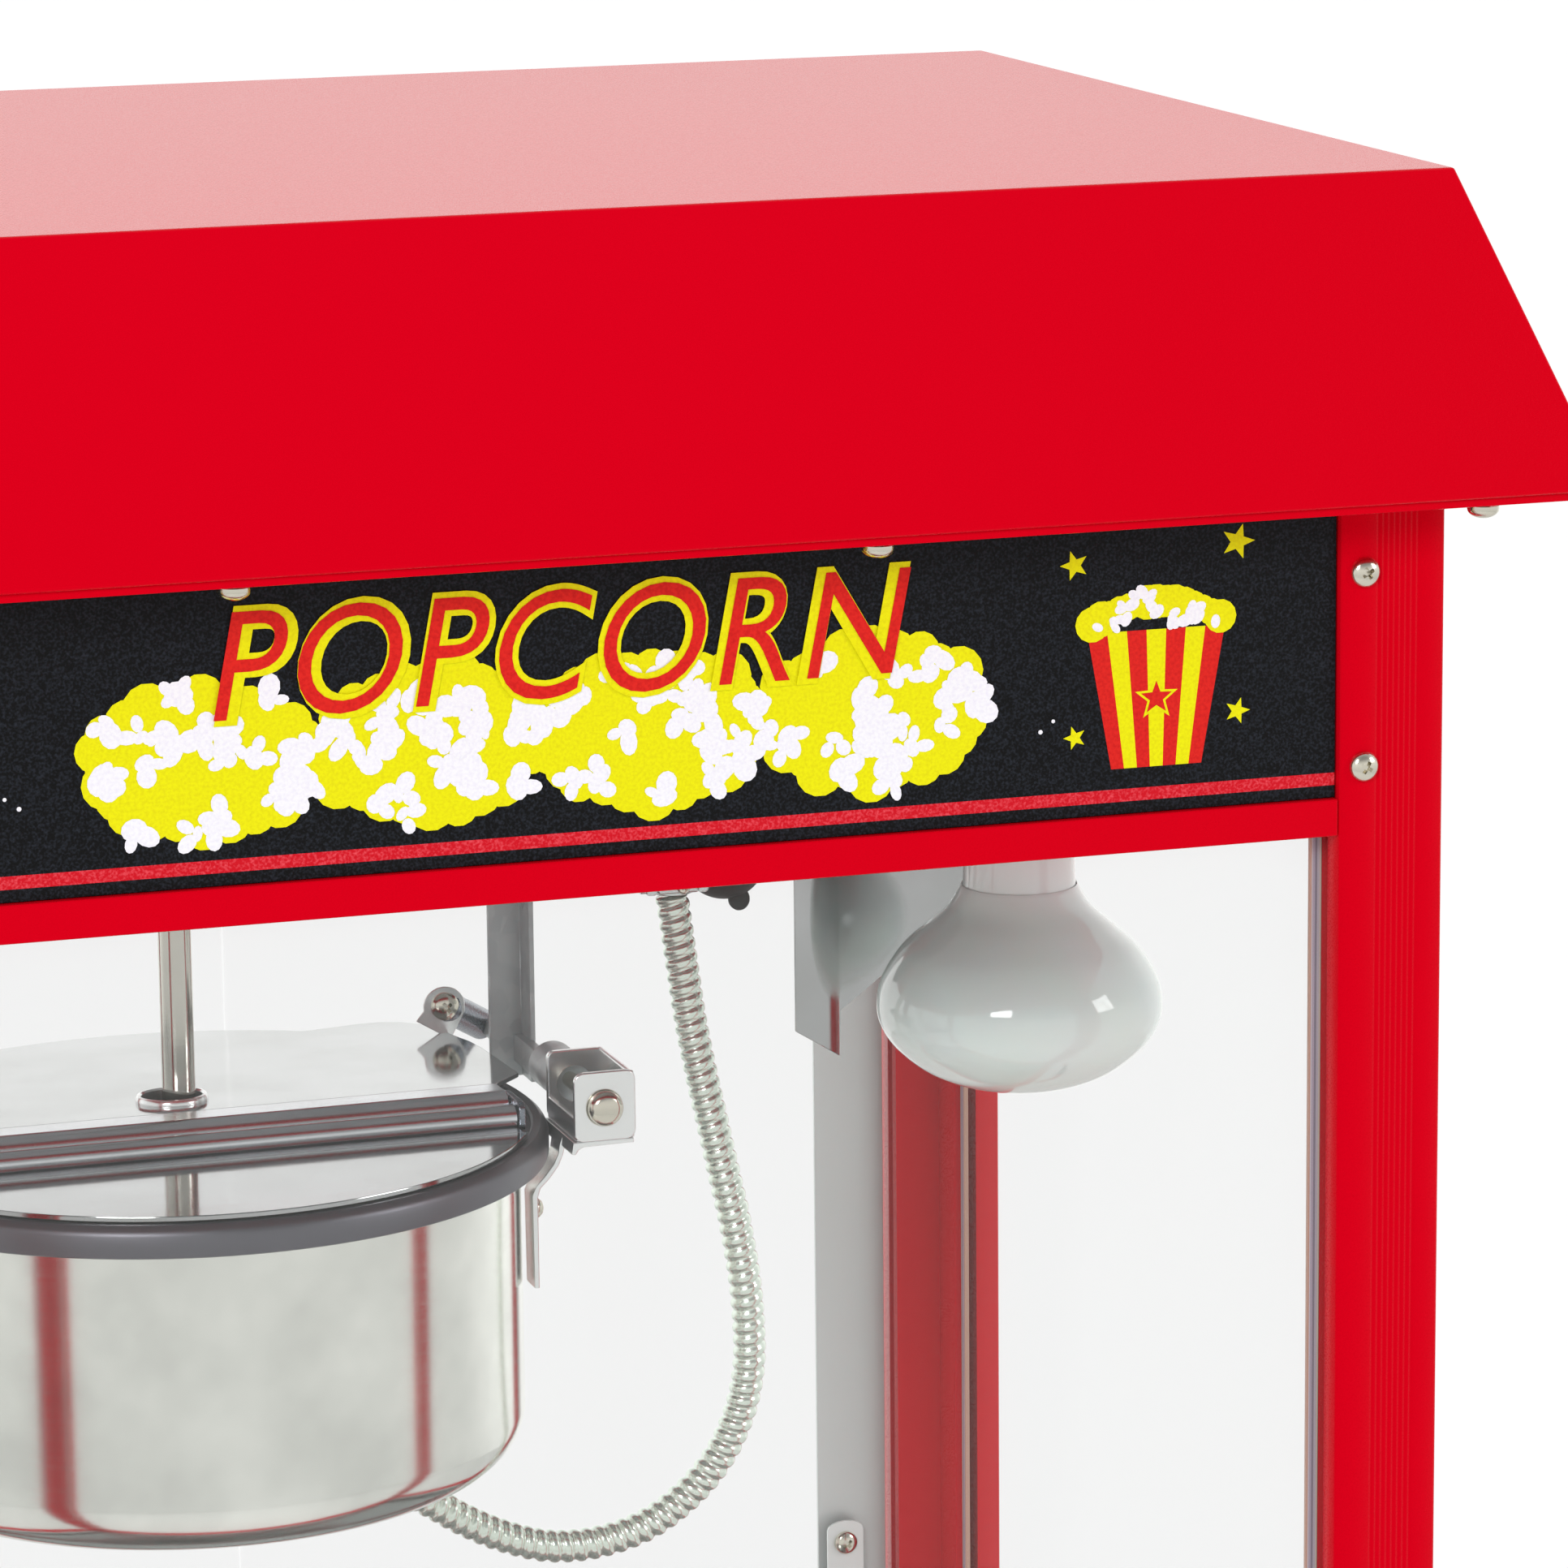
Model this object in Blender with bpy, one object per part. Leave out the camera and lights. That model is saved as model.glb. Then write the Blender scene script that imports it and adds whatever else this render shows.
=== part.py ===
"""Popcorn cart: a glass-sided corn popper with a hanging kettle, on a two-wheeled cart.

X runs to the viewer's right, Y to the back (the operator's side) and Z up, in metres.
The origin is on the floor, under the middle of the cart.
"""

import math

import bmesh
import bpy
from mathutils import Matrix, Vector

# Heights.
CART_TOP = 0.780
MACHINE_HEIGHT = 0.770
ROOF_HEIGHT = 0.082
EAVES = CART_TOP + MACHINE_HEIGHT - ROOF_HEIGHT
BASE_HEIGHT = 0.170
DECK = CART_TOP + BASE_HEIGHT

# Plan sizes, as half widths (X) and half depths (Y).
EAVES_X, EAVES_Y = 0.280, 0.210
RIDGE_INSET = 0.0307
BODY_X, BODY_Y = 0.245, 0.1856
BASE_X, BASE_Y = 0.250, 0.190
POST_LEG = 0.0294
POST_DEPTH = 0.015
OPENING_X = BODY_X - POST_LEG
OPENING_Y = BODY_Y - POST_LEG

SHEET = 0.0015
GAP = 0.0003
FIT = 0.0001

# Header band and its signs.
HEADER_HEIGHT = 0.0911
RAIL_HEIGHT = 0.0099
SIGN_RECESS = 0.002
SIGN_THICKNESS = 0.0017
HEADER_LIP = 0.0060

# Panes and the grooves that hold them.
PANE_THICKNESS = 0.003
GROOVE_NEAR = 0.0076
GROOVE_WIDTH = 0.004
GROOVE_DEPTH = 0.008

# Kettle, whose axis is vertical, and the pin that it swings on.
KETTLE_X, KETTLE_Y = -0.059, -0.020
RIM_TOP = EAVES - 0.1857
RIM_BOTTOM = EAVES - 0.1945
RIM_R = 0.1015
POT_R = 0.0936
POT_WALL = 0.002
POT_TOP = EAVES - 0.1875
POT_BOTTOM = EAVES - 0.2804
POT_CORNER = 0.014
PIN_X, PIN_Z = 0.0506, EAVES - 0.1796
PIN_R = 0.0049
CLEVIS_FRONT, CLEVIS_BACK = -0.062, -0.031
LID_R = 0.0975
FRONT_ROD_Y, FRONT_ROD_Z = -0.0545, EAVES - 0.1819
REAR_ROD_Y, REAR_ROD_Z = -0.0455, EAVES - 0.1809
LID_HINGE_HALF = 0.086
SHAFT_R = 0.0046
CEILING = EAVES - 0.010
COUPLING_BOTTOM = EAVES - 0.034

# Lamp, conduit and the pieces beside them.
LAMP_X, LAMP_Y = 0.173, -0.059
CONDUIT_R = 0.00475

# Cart.
WHEEL_X, WHEEL_Y, WHEEL_R = -0.200, 0.235, 0.200
AXLE_R = 0.008
LEG_X, LEG_Y, TUBE = 0.2405, 0.1835, 0.025
HANDLE_X, HANDLE_Z, HANDLE_R = 0.389, 0.700, 0.011

MATERIALS = {
    "red_powder_coat": ("#D8061C", 0.35, 0.0),
    "black_print": ("#17171A", 0.45, 0.0),
    "clear_acrylic": ("#E9F1F0", 0.05, 0.0),
    "polished_steel": ("#C9CBC8", 0.15, 1.0),
    "dark_steel": ("#4D4D54", 0.35, 0.9),
    "zinc_steel": ("#B9C2C6", 0.35, 1.0),
    "satin_aluminium": ("#C8D0D2", 0.4, 1.0),
    "lamp_glass": ("#D9DCDD", 0.15, 0.0),
    "white_ceramic": ("#E6E4DC", 0.3, 0.0),
    "black_plastic": ("#1B1C1F", 0.4, 0.0),
    "rubber": ("#1D1D1E", 0.75, 0.0),
    "chrome": ("#D4D4D2", 0.08, 1.0),
}


def clear_scene():
    for old in list(bpy.data.objects):
        bpy.data.objects.remove(old)


def linear(channel):
    return channel / 12.92 if channel <= 0.04045 else ((channel + 0.055) / 1.055) ** 2.4


def material(name):
    """The Principled material of that name, made the first time it is asked for."""
    if name in bpy.data.materials:
        return bpy.data.materials[name]
    colour, roughness, metallic = MATERIALS[name]
    made = bpy.data.materials.new(name)
    made.use_nodes = True
    shader = made.node_tree.nodes["Principled BSDF"]
    rgb = [linear(int(colour[place : place + 2], 16) / 255) for place in (1, 3, 5)]
    shader.inputs["Base Color"].default_value = (*rgb, 1)
    shader.inputs["Roughness"].default_value = roughness
    shader.inputs["Metallic"].default_value = metallic
    return made


def mesh_object(name, shape, finish):
    """A new object from a bmesh, with its normals made to point out."""
    bmesh.ops.recalc_face_normals(shape, faces=shape.faces)
    mesh = bpy.data.meshes.new(name)
    shape.to_mesh(mesh)
    shape.free()
    made = bpy.data.objects.new(name, mesh)
    made.data.materials.append(material(finish))
    bpy.context.collection.objects.link(made)
    return made


def box(name, low, high, finish):
    """A block between two corners."""
    low, high = Vector(low), Vector(high)
    shape = bmesh.new()
    bmesh.ops.create_cube(shape, size=1)
    size = high - low
    bmesh.ops.scale(shape, vec=size, verts=shape.verts)
    bmesh.ops.translate(shape, vec=(low + high) / 2, verts=shape.verts)
    return mesh_object(name, shape, finish)


def prism(name, outline, axis, start, end, finish):
    """An outline extruded along X, Y or Z. Its points are (Y, Z), (X, Z) or (X, Y)."""
    shape = bmesh.new()

    def place(point, along):
        values = list(point)
        values.insert("XYZ".index(axis), along)
        return values

    face = shape.faces.new([shape.verts.new(place(point, start)) for point in outline])
    grown = bmesh.ops.extrude_face_region(shape, geom=[face])
    moved = [item for item in grown["geom"] if isinstance(item, bmesh.types.BMVert)]
    step = Vector(place((0, 0), end - start))
    bmesh.ops.translate(shape, vec=step, verts=moved)
    return mesh_object(name, shape, finish)


def turned(name, profile, centre, finish, axis="Z", steps=32):
    """A closed profile of (radius, height) spun about an axis through centre."""
    shape = bmesh.new()
    points = [shape.verts.new((radius, 0, height)) for radius, height in profile]
    edges = [shape.edges.new((a, b)) for a, b in zip(points, points[1:] + points[:1])]
    bmesh.ops.spin(
        shape,
        geom=points + edges,
        cent=(0, 0, 0),
        axis=(0, 0, 1),
        angle=math.tau,
        steps=steps,
        use_merge=True,
    )
    bmesh.ops.remove_doubles(shape, verts=shape.verts, dist=0.00002)
    bmesh.ops.dissolve_degenerate(shape, edges=shape.edges, dist=0.00002)
    turn = {"X": ("Y", 90), "Y": ("X", -90), "Z": ("Z", 0)}[axis]
    rotation = Matrix.Rotation(math.radians(turn[1]), 3, turn[0])
    bmesh.ops.rotate(shape, cent=(0, 0, 0), matrix=rotation, verts=shape.verts)
    bmesh.ops.translate(shape, vec=centre, verts=shape.verts)
    made = mesh_object(name, shape, finish)
    made.data.shade_smooth()
    made.data.set_sharp_from_angle(angle=math.radians(40))
    return made


def rod(name, radius, start, end, finish, axis="Z", steps=24):
    """A round bar along an axis, from start to the same line at end."""
    length = (Vector(end) - Vector(start)).length
    profile = [(0, 0), (radius, 0), (radius, length), (0, length)]
    return turned(name, profile, start, finish, axis, steps)


def tube(name, points, radius, finish, sides=2):
    """A round bar along a line of points, with flat ends."""
    curve = bpy.data.curves.new(name, "CURVE")
    curve.dimensions = "3D"
    curve.bevel_depth = radius
    curve.bevel_resolution = sides
    curve.use_fill_caps = True
    spline = curve.splines.new("POLY")
    spline.points.add(len(points) - 1)
    for target, point in zip(spline.points, points):
        target.co = (*point, 1)
    made = bpy.data.objects.new(name, curve)
    curve.materials.append(material(finish))
    bpy.context.collection.objects.link(made)
    return made


def combine(target, operation, *others):
    """Joins others to target, or cuts them from it, and hides them."""
    for other in others:
        modifier = target.modifiers.new(other.name, "BOOLEAN")
        modifier.operation = operation
        modifier.object = other
        modifier.solver = "EXACT"
        other.hide_render = True
        other.display_type = "WIRE"
        other.name = f"{target.name}_tool_{other.name}"


def arc(centre, radius, first, last, steps):
    """Points on an arc from first to last, in degrees."""
    angles = [first + (last - first) * step / steps for step in range(steps + 1)]
    return [
        (centre[0] + radius * math.cos(math.radians(a)), centre[1] + radius * math.sin(math.radians(a)))
        for a in angles
    ]


def smooth_route(points, per_span=4):
    """A Catmull-Rom curve through points."""
    ends = [points[0], *points, points[-1]]
    route = []
    for a, b, c, d in zip(ends, ends[1:], ends[2:], ends[3:]):
        a, b, c, d = Vector(a), Vector(b), Vector(c), Vector(d)
        for step in range(per_span):
            t = step / per_span
            inner = (2 * a - 5 * b + 4 * c - d) * t**2 + (3 * b - a - 3 * c + d) * t**3
            route.append((2 * b + (c - a) * t + inner) / 2)
    return [*route, Vector(points[-1])]


def pivot(name, place, pieces):
    """Hangs a moving body's pieces on an empty that stands on its joint's axis."""
    empty = bpy.data.objects.new(name, None)
    empty.location = place
    bpy.context.collection.objects.link(empty)
    for piece in pieces:
        piece.parent = empty
        piece.matrix_parent_inverse = Matrix.Translation(-Vector(place))
    return empty


def make_roof():
    """A folded sheet canopy: flat top, four flared slopes and an inward flange at the eaves."""
    top_x, top_y = EAVES_X - RIDGE_INSET, EAVES_Y - RIDGE_INSET
    flange_x, flange_y = 0.232, 0.168
    rings = [
        (flange_x, flange_y, EAVES),
        (EAVES_X, EAVES_Y, EAVES),
        (EAVES_X, EAVES_Y, EAVES + SHEET),
        (top_x, top_y, EAVES + ROOF_HEIGHT),
        (top_x - SHEET, top_y - SHEET, EAVES + ROOF_HEIGHT - SHEET),
        (EAVES_X - 2 * SHEET, EAVES_Y - 2 * SHEET, EAVES + SHEET),
        (flange_x, flange_y, EAVES + SHEET),
    ]
    shape = bmesh.new()
    loops = []
    for half_x, half_y, height in rings:
        corners = [(-half_x, -half_y), (half_x, -half_y), (half_x, half_y), (-half_x, half_y)]
        loops.append([shape.verts.new((x, y, height)) for x, y in corners])
    top, under_top = 3, 4
    for index, loop in enumerate(loops):
        if index == top:
            continue
        after = loops[(index + 1) % len(loops)]
        for side in range(4):
            near, far = side, (side + 1) % 4
            shape.faces.new([loop[near], loop[far], after[far], after[near]])
    shape.faces.new(loops[top])
    shape.faces.new(loops[under_top])
    mesh_object("roof_canopy", shape, "red_powder_coat")


def header_section(outer):
    """A folded header band seen end on: rail at the foot, back plate, and lip at the top.

    Its points are (distance from the cabinet's middle, height).
    """
    face = outer - SIGN_RECESS
    plate = face - SIGN_THICKNESS - GAP
    foot, top = EAVES - HEADER_HEIGHT, EAVES - GAP
    return [
        (outer, foot),
        (outer, foot + RAIL_HEIGHT),
        (plate, foot + RAIL_HEIGHT),
        (plate, top - HEADER_LIP),
        (face, top - HEADER_LIP),
        (face, top),
        (plate - SHEET, top),
        (plate - SHEET, foot + RAIL_HEIGHT),
        (outer - POST_DEPTH, foot + RAIL_HEIGHT),
        (outer - POST_DEPTH, foot),
    ]


def make_headers():
    """The red band round the top of the cabinet, with a printed sign in three of its sides."""
    along_x, along_y = OPENING_X - GAP, OPENING_Y - GAP
    front = [(-distance, height) for distance, height in header_section(BODY_Y)]
    prism("header_front", front, "X", -along_x, along_x, "red_powder_coat")
    rear = prism("header_rear", header_section(BODY_Y), "X", -along_x, along_x, "red_powder_coat")
    right = header_section(BODY_X)
    left = [(-distance, height) for distance, height in right]
    prism("header_right", right, "Y", -along_y, along_y, "red_powder_coat")
    prism("header_left", left, "Y", -along_y, along_y, "red_powder_coat")
    sign_foot = EAVES - HEADER_HEIGHT + RAIL_HEIGHT + GAP
    sign_top = EAVES - GAP - HEADER_LIP - GAP
    half_x, half_y = along_x - GAP, along_y - GAP
    face = BODY_Y - SIGN_RECESS
    low, high = (-half_x, -face, sign_foot), (half_x, SIGN_THICKNESS - face, sign_top)
    box("sign_front", low, high, "black_print")
    side = BODY_X - SIGN_RECESS
    low, high = (side - SIGN_THICKNESS, -half_y, sign_foot), (side, half_y, sign_top)
    box("sign_right", low, high, "black_print")
    low, high = (-side, -half_y, sign_foot), (SIGN_THICKNESS - side, half_y, sign_top)
    box("sign_left", low, high, "black_print")
    return rear


SWITCHES = {"switch_light": -0.060, "switch_heat": 0.0, "switch_motor": 0.060}
SWITCH_Z = EAVES - 0.045
SWITCH_Y = BODY_Y - SIGN_RECESS - SIGN_THICKNESS - GAP


def make_switches(rear_header):
    """Three rocker switches in windows of the rear header, each on its own pin along X."""
    for name, x in SWITCHES.items():
        window = box(
            f"window_{name}",
            (x - 0.0085, SWITCH_Y - 0.004, SWITCH_Z - 0.0135),
            (x + 0.0085, SWITCH_Y + 0.004, SWITCH_Z + 0.0135),
            "black_plastic",
        )
        combine(rear_header, "DIFFERENCE", window)
        outline = [
            (SWITCH_Y - 0.010, SWITCH_Z - 0.006),
            (SWITCH_Y + 0.0005, SWITCH_Z - 0.012),
            (SWITCH_Y + 0.0045, SWITCH_Z - 0.012),
            (SWITCH_Y + 0.0020, SWITCH_Z),
            (SWITCH_Y + 0.0020, SWITCH_Z + 0.012),
            (SWITCH_Y + 0.0005, SWITCH_Z + 0.012),
            (SWITCH_Y - 0.010, SWITCH_Z + 0.006),
        ]
        rocker = prism(name, outline, "X", x - 0.0078, x + 0.0078, "black_plastic")
        pivot(f"{name}_axis", (x, SWITCH_Y, SWITCH_Z), [rocker])


def make_posts():
    """Four corner posts: an angle with a pane groove in the end of each leg."""
    near, far = GROOVE_NEAR, GROOVE_NEAR + GROOVE_WIDTH
    outline = [
        (0, 0),
        (POST_LEG, 0),
        (POST_LEG, near),
        (POST_LEG - GROOVE_DEPTH, near),
        (POST_LEG - GROOVE_DEPTH, far),
        (POST_LEG, far),
        (POST_LEG, POST_DEPTH),
        (POST_DEPTH, POST_DEPTH),
        (POST_DEPTH, POST_LEG),
        (far, POST_LEG),
        (far, POST_LEG - GROOVE_DEPTH),
        (near, POST_LEG - GROOVE_DEPTH),
        (near, POST_LEG),
        (0, POST_LEG),
    ]
    for side, right in (("left", -1), ("right", 1)):
        for end, back in (("front", -1), ("rear", 1)):
            corner = [(right * (BODY_X - u), back * (BODY_Y - v)) for u, v in outline]
            name = f"post_{end}_{side}"
            prism(name, corner, "Z", DECK + GAP, EAVES - GAP, "red_powder_coat")


def make_panes():
    """Three fixed panes, standing in the posts' grooves."""
    foot, top = DECK + 2 * GAP, EAVES - HEADER_HEIGHT - GAP
    slack = (GROOVE_WIDTH - PANE_THICKNESS) / 2
    front = BODY_Y - GROOVE_NEAR - slack
    reach_x = OPENING_X + GROOVE_DEPTH - 0.001
    reach_y = OPENING_Y + GROOVE_DEPTH - 0.001
    box("pane_front", (-reach_x, -front, foot), (reach_x, PANE_THICKNESS - front, top), "clear_acrylic")
    side = BODY_X - GROOVE_NEAR - slack
    box("pane_right", (side - PANE_THICKNESS, -reach_y, foot), (side, reach_y, top), "clear_acrylic")
    box("pane_left", (-side, -reach_y, foot), (PANE_THICKNESS - side, reach_y, top), "clear_acrylic")


def make_doors():
    """Two clear doors at the operator's side, each with an aluminium stile at its hinge edge."""
    foot, top = DECK + 0.0008, EAVES - HEADER_HEIGHT - 0.0008
    inner, outer = 0.1762, 0.1802
    hinge_x, hinge_y = 0.2150, 0.1870
    for name, side in (("left", -1), ("right", 1)):
        far, near = side * 0.0006, side * 0.2145
        low = (min(far, near), inner, foot)
        high = (max(far, near), outer, top)
        panel = box(f"door_{name}", low, high, "clear_acrylic")
        edge = side * 0.1915
        low = (min(edge, near), outer + GAP, foot)
        high = (max(edge, near), outer + GAP + SHEET, top)
        stile = box(f"door_stile_{name}", low, high, "satin_aluminium")
        pivot(f"door_{name}_axis", (side * hinge_x, hinge_y, DECK), [panel, stile])


def make_base():
    """The machine's base: a sheet housing with the popcorn tray above and the crumb drawer behind."""
    foot = CART_TOP + GAP
    housing = box("base_housing", (-BASE_X, -BASE_Y, foot), (BASE_X, BASE_Y, DECK), "red_powder_coat")
    wall = 2 * SHEET
    inside = box(
        "inside",
        (wall - BASE_X, wall - BASE_Y, foot + wall),
        (BASE_X - wall, BASE_Y - wall, DECK - wall),
        "red_powder_coat",
    )
    mouth_x, mouth_y = 0.213, 0.153
    low, high = (-mouth_x, -mouth_y, DECK - 0.02), (mouth_x, mouth_y, DECK + 0.01)
    mouth = box("mouth", low, high, "red_powder_coat")
    slot_low, slot_high = foot + 0.030, foot + 0.108
    slot = box("slot", (-0.120, 0.15, slot_low), (0.120, 0.25, slot_high), "red_powder_coat")
    combine(housing, "DIFFERENCE", inside, mouth, slot)

    tray_x, tray_y, drop = mouth_x - 0.0006, mouth_y - 0.0006, 0.018
    low, high = (-tray_x, -tray_y, DECK - drop), (tray_x, tray_y, DECK + GAP)
    tray = box("popcorn_tray", low, high, "polished_steel")
    flange = box(
        "flange",
        (-tray_x - 0.012, -tray_y - 0.012, DECK + GAP),
        (tray_x + 0.012, tray_y + 0.012, DECK + GAP + 0.001),
        "polished_steel",
    )
    hollow = box(
        "hollow",
        (0.001 - tray_x, 0.001 - tray_y, DECK - drop + 0.001),
        (tray_x - 0.001, tray_y - 0.001, DECK + 0.01),
        "polished_steel",
    )
    combine(tray, "UNION", flange)
    combine(tray, "DIFFERENCE", hollow)

    front = box(
        "crumb_drawer",
        (-0.130, BASE_Y + GAP, slot_low - 0.008),
        (0.130, BASE_Y + 0.0023, slot_high + 0.008),
        "red_powder_coat",
    )
    pan = box(
        "pan",
        (-0.118, 0.010, slot_low + 0.001),
        (0.118, BASE_Y + 0.001, slot_high - 0.002),
        "red_powder_coat",
    )
    well = box(
        "well",
        (-0.1165, 0.0115, slot_low + 0.0025),
        (0.1165, BASE_Y - 0.001, slot_high + 0.020),
        "red_powder_coat",
    )
    knob_profile = [(0, 0), (0.005, 0), (0.005, 0.009), (0.011, 0.013), (0.011, 0.020), (0, 0.022)]
    knob_at = (0, BASE_Y + 0.0015, (slot_low + slot_high) / 2)
    knob = turned("knob", knob_profile, knob_at, "red_powder_coat", "Y", 20)
    combine(front, "UNION", pan)
    combine(front, "DIFFERENCE", well)
    combine(front, "UNION", knob)
    pivot("drawer_axis", (0, BASE_Y, slot_low), [front])

    inlet = box(
        "power_inlet",
        (0.185, BASE_Y + GAP, foot + 0.050),
        (0.221, BASE_Y + 0.006, foot + 0.082),
        "black_plastic",
    )
    socket = box(
        "socket",
        (0.1915, BASE_Y + 0.0015, foot + 0.058),
        (0.2145, BASE_Y + 0.02, foot + 0.074),
        "black_plastic",
    )
    combine(inlet, "DIFFERENCE", socket)


def make_ceiling():
    """The sheet deck that the motor stands on and everything in the cabinet hangs from."""
    low, high = (-0.2285, -0.169, CEILING), (0.2285, 0.169, CEILING + SHEET)
    deck = box("ceiling_plate", low, high, "zinc_steel")
    low, high = (KETTLE_X, KETTLE_Y, CEILING - 0.01), (KETTLE_X, KETTLE_Y, CEILING + 0.02)
    hole = rod("shaft_hole", 0.009, low, high, "zinc_steel")
    combine(deck, "DIFFERENCE", hole)

    motor_foot = CEILING + SHEET + GAP
    motor = box(
        "gear_motor",
        (KETTLE_X - 0.035, KETTLE_Y - 0.030, motor_foot),
        (KETTLE_X + 0.035, KETTLE_Y + 0.030, motor_foot + 0.028),
        "dark_steel",
    )
    can_at = (KETTLE_X - 0.008, KETTLE_Y, motor_foot + 0.020)
    can = rod("can", 0.026, can_at, (can_at[0], can_at[1], motor_foot + 0.070), "dark_steel")
    bore_at = (KETTLE_X, KETTLE_Y, motor_foot - 0.005)
    stub = 0.004
    bore = rod("bore", stub + FIT, bore_at, (KETTLE_X, KETTLE_Y, motor_foot + 0.012), "dark_steel")
    combine(motor, "UNION", can)
    combine(motor, "DIFFERENCE", bore)

    profile = [
        (0, COUPLING_BOTTOM),
        (0.009, COUPLING_BOTTOM),
        (0.009, CEILING - 0.002),
        (stub, CEILING - 0.002),
        (stub, motor_foot + 0.010),
        (0, motor_foot + 0.010),
    ]
    coupling = turned("drive_coupling", profile, (KETTLE_X, KETTLE_Y, 0), "zinc_steel", steps=24)
    tongue = box(
        "tongue",
        (KETTLE_X - 0.0060, KETTLE_Y - 0.0015, COUPLING_BOTTOM - 0.005),
        (KETTLE_X + 0.0060, KETTLE_Y + 0.0015, COUPLING_BOTTOM + 0.002),
        "zinc_steel",
    )
    combine(coupling, "UNION", tongue)
    pivot("drive_axis", (KETTLE_X, KETTLE_Y, CEILING), [coupling])


def make_pot():
    """The pot, open at the top, with a round corner at its foot, and the dark ring on its edge."""
    low, inner = POT_BOTTOM, POT_R - POT_WALL
    corner = (POT_R - POT_CORNER, low + POT_CORNER)
    profile = [
        (0, low),
        *arc(corner, POT_CORNER, -90, 0, 5),
        (POT_R, POT_TOP),
        (inner, POT_TOP),
        *arc(corner, POT_CORNER - POT_WALL, 0, -90, 5),
        (0, low + POT_WALL),
    ]
    at = (KETTLE_X, KETTLE_Y, 0)
    pot = turned("kettle_pot", profile, at, "polished_steel", steps=56)
    seat = POT_R + GAP
    profile = [
        (seat, RIM_BOTTOM),
        (RIM_R, RIM_BOTTOM),
        (RIM_R, RIM_TOP),
        (0.086, RIM_TOP),
        (0.086, POT_TOP + GAP),
        (seat, POT_TOP + GAP),
    ]
    rim = turned("kettle_rim", profile, at, "dark_steel", steps=56)
    return [pot, rim]


def curl(centre, outer, inner, far, above):
    """A lid seen end on: a flat sheet whose hinge edge is rolled round a rod.

    far is the Y of the sheet's other edge, and the sheet lies above or below the rod.
    """
    side = 1 if far > centre[0] else -1
    rise = 1 if above else -1
    start = 90 * rise
    turn = -300 * rise * -side
    last = start + turn
    outside = arc(centre, outer, start, last, 15)
    inside = arc(centre, inner, last, start, 15)
    return [
        (far, centre[1] + rise * outer),
        *outside,
        *inside,
        (far, centre[1] + rise * inner),
    ]


def make_lids():
    """Two flaps with rolled edges on two rods, which a bracket on the rim holds at both ends."""
    pieces = []
    rods = {
        "lid_front": ((FRONT_ROD_Y, FRONT_ROD_Z), 0.0035, 0.0020, -0.200, False, LID_R),
        "lid_rear": ((REAR_ROD_Y, REAR_ROD_Z), 0.0045, 0.0030, 0.150, True, 0.104),
    }
    for name, (centre, outer, inner, far, above, radius) in rods.items():
        outline = curl(centre, outer, inner, far, above)
        lid = prism(name, outline, "X", KETTLE_X - 0.15, KETTLE_X + 0.15, "polished_steel")
        low, high = (KETTLE_X, KETTLE_Y, RIM_TOP - 0.05), (KETTLE_X, KETTLE_Y, RIM_TOP + 0.05)
        disc = rod(f"disc_{name}", radius, low, high, "polished_steel", steps=64)
        combine(lid, "INTERSECT", disc)
        ends = (centre[0] - 0.0092, centre[0] + 0.0092)
        for end, side in (("left", -1), ("right", 1)):
            reach = sorted((KETTLE_X + side * LID_HINGE_HALF, KETTLE_X + side * 0.2))
            notch = box(
                f"notch_{end}_{name}",
                (reach[0], ends[0], RIM_TOP - 0.02),
                (reach[1], ends[1], RIM_TOP + 0.04),
                "polished_steel",
            )
            combine(lid, "DIFFERENCE", notch)
        if name == "lid_rear":
            low, high = (0.0365, -0.2, RIM_TOP - 0.02), (0.2, 0.2, RIM_TOP + 0.04)
            flat = box("flat", low, high, "polished_steel")
            low, high = (KETTLE_X, KETTLE_Y, centre[1] + 0.0034), (KETTLE_X, KETTLE_Y, centre[1] + 0.0065)
            lip = rod("lip", 0.0112, low, high, "polished_steel")
            low, high = (KETTLE_X, KETTLE_Y, RIM_TOP - 0.02), (KETTLE_X, KETTLE_Y, RIM_TOP + 0.04)
            hole = rod("hole", 0.0098, low, high, "polished_steel")
            combine(lid, "DIFFERENCE", flat)
            combine(lid, "UNION", lip)
            combine(lid, "DIFFERENCE", hole)
        hinge = (KETTLE_X, *centre)
        pieces.append((lid, hinge))

    right = KETTLE_X + LID_HINGE_HALF + GAP
    left = 2 * KETTLE_X - right
    foot, top, plate_thick = RIM_TOP + GAP, RIM_TOP + 0.0095, 0.002
    low, high = (right, -0.061, foot), (right + plate_thick, -0.039, top)
    bracket = box("lid_bracket", low, high, "zinc_steel")
    low, high = (left - plate_thick, -0.061, foot), (left, -0.039, top)
    plate = box("plate", low, high, "zinc_steel")
    combine(bracket, "UNION", plate)
    pins = {
        "front_rod": (0.00192, FRONT_ROD_Y, FRONT_ROD_Z),
        "rear_rod": (0.00292, REAR_ROD_Y, REAR_ROD_Z),
    }
    for name, (radius, y, z) in pins.items():
        low, high = (left - 0.001, y, z), (right + 0.001, y, z)
        combine(bracket, "UNION", rod(name, radius, low, high, "zinc_steel", "X", 18))
    return pieces, bracket


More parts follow.
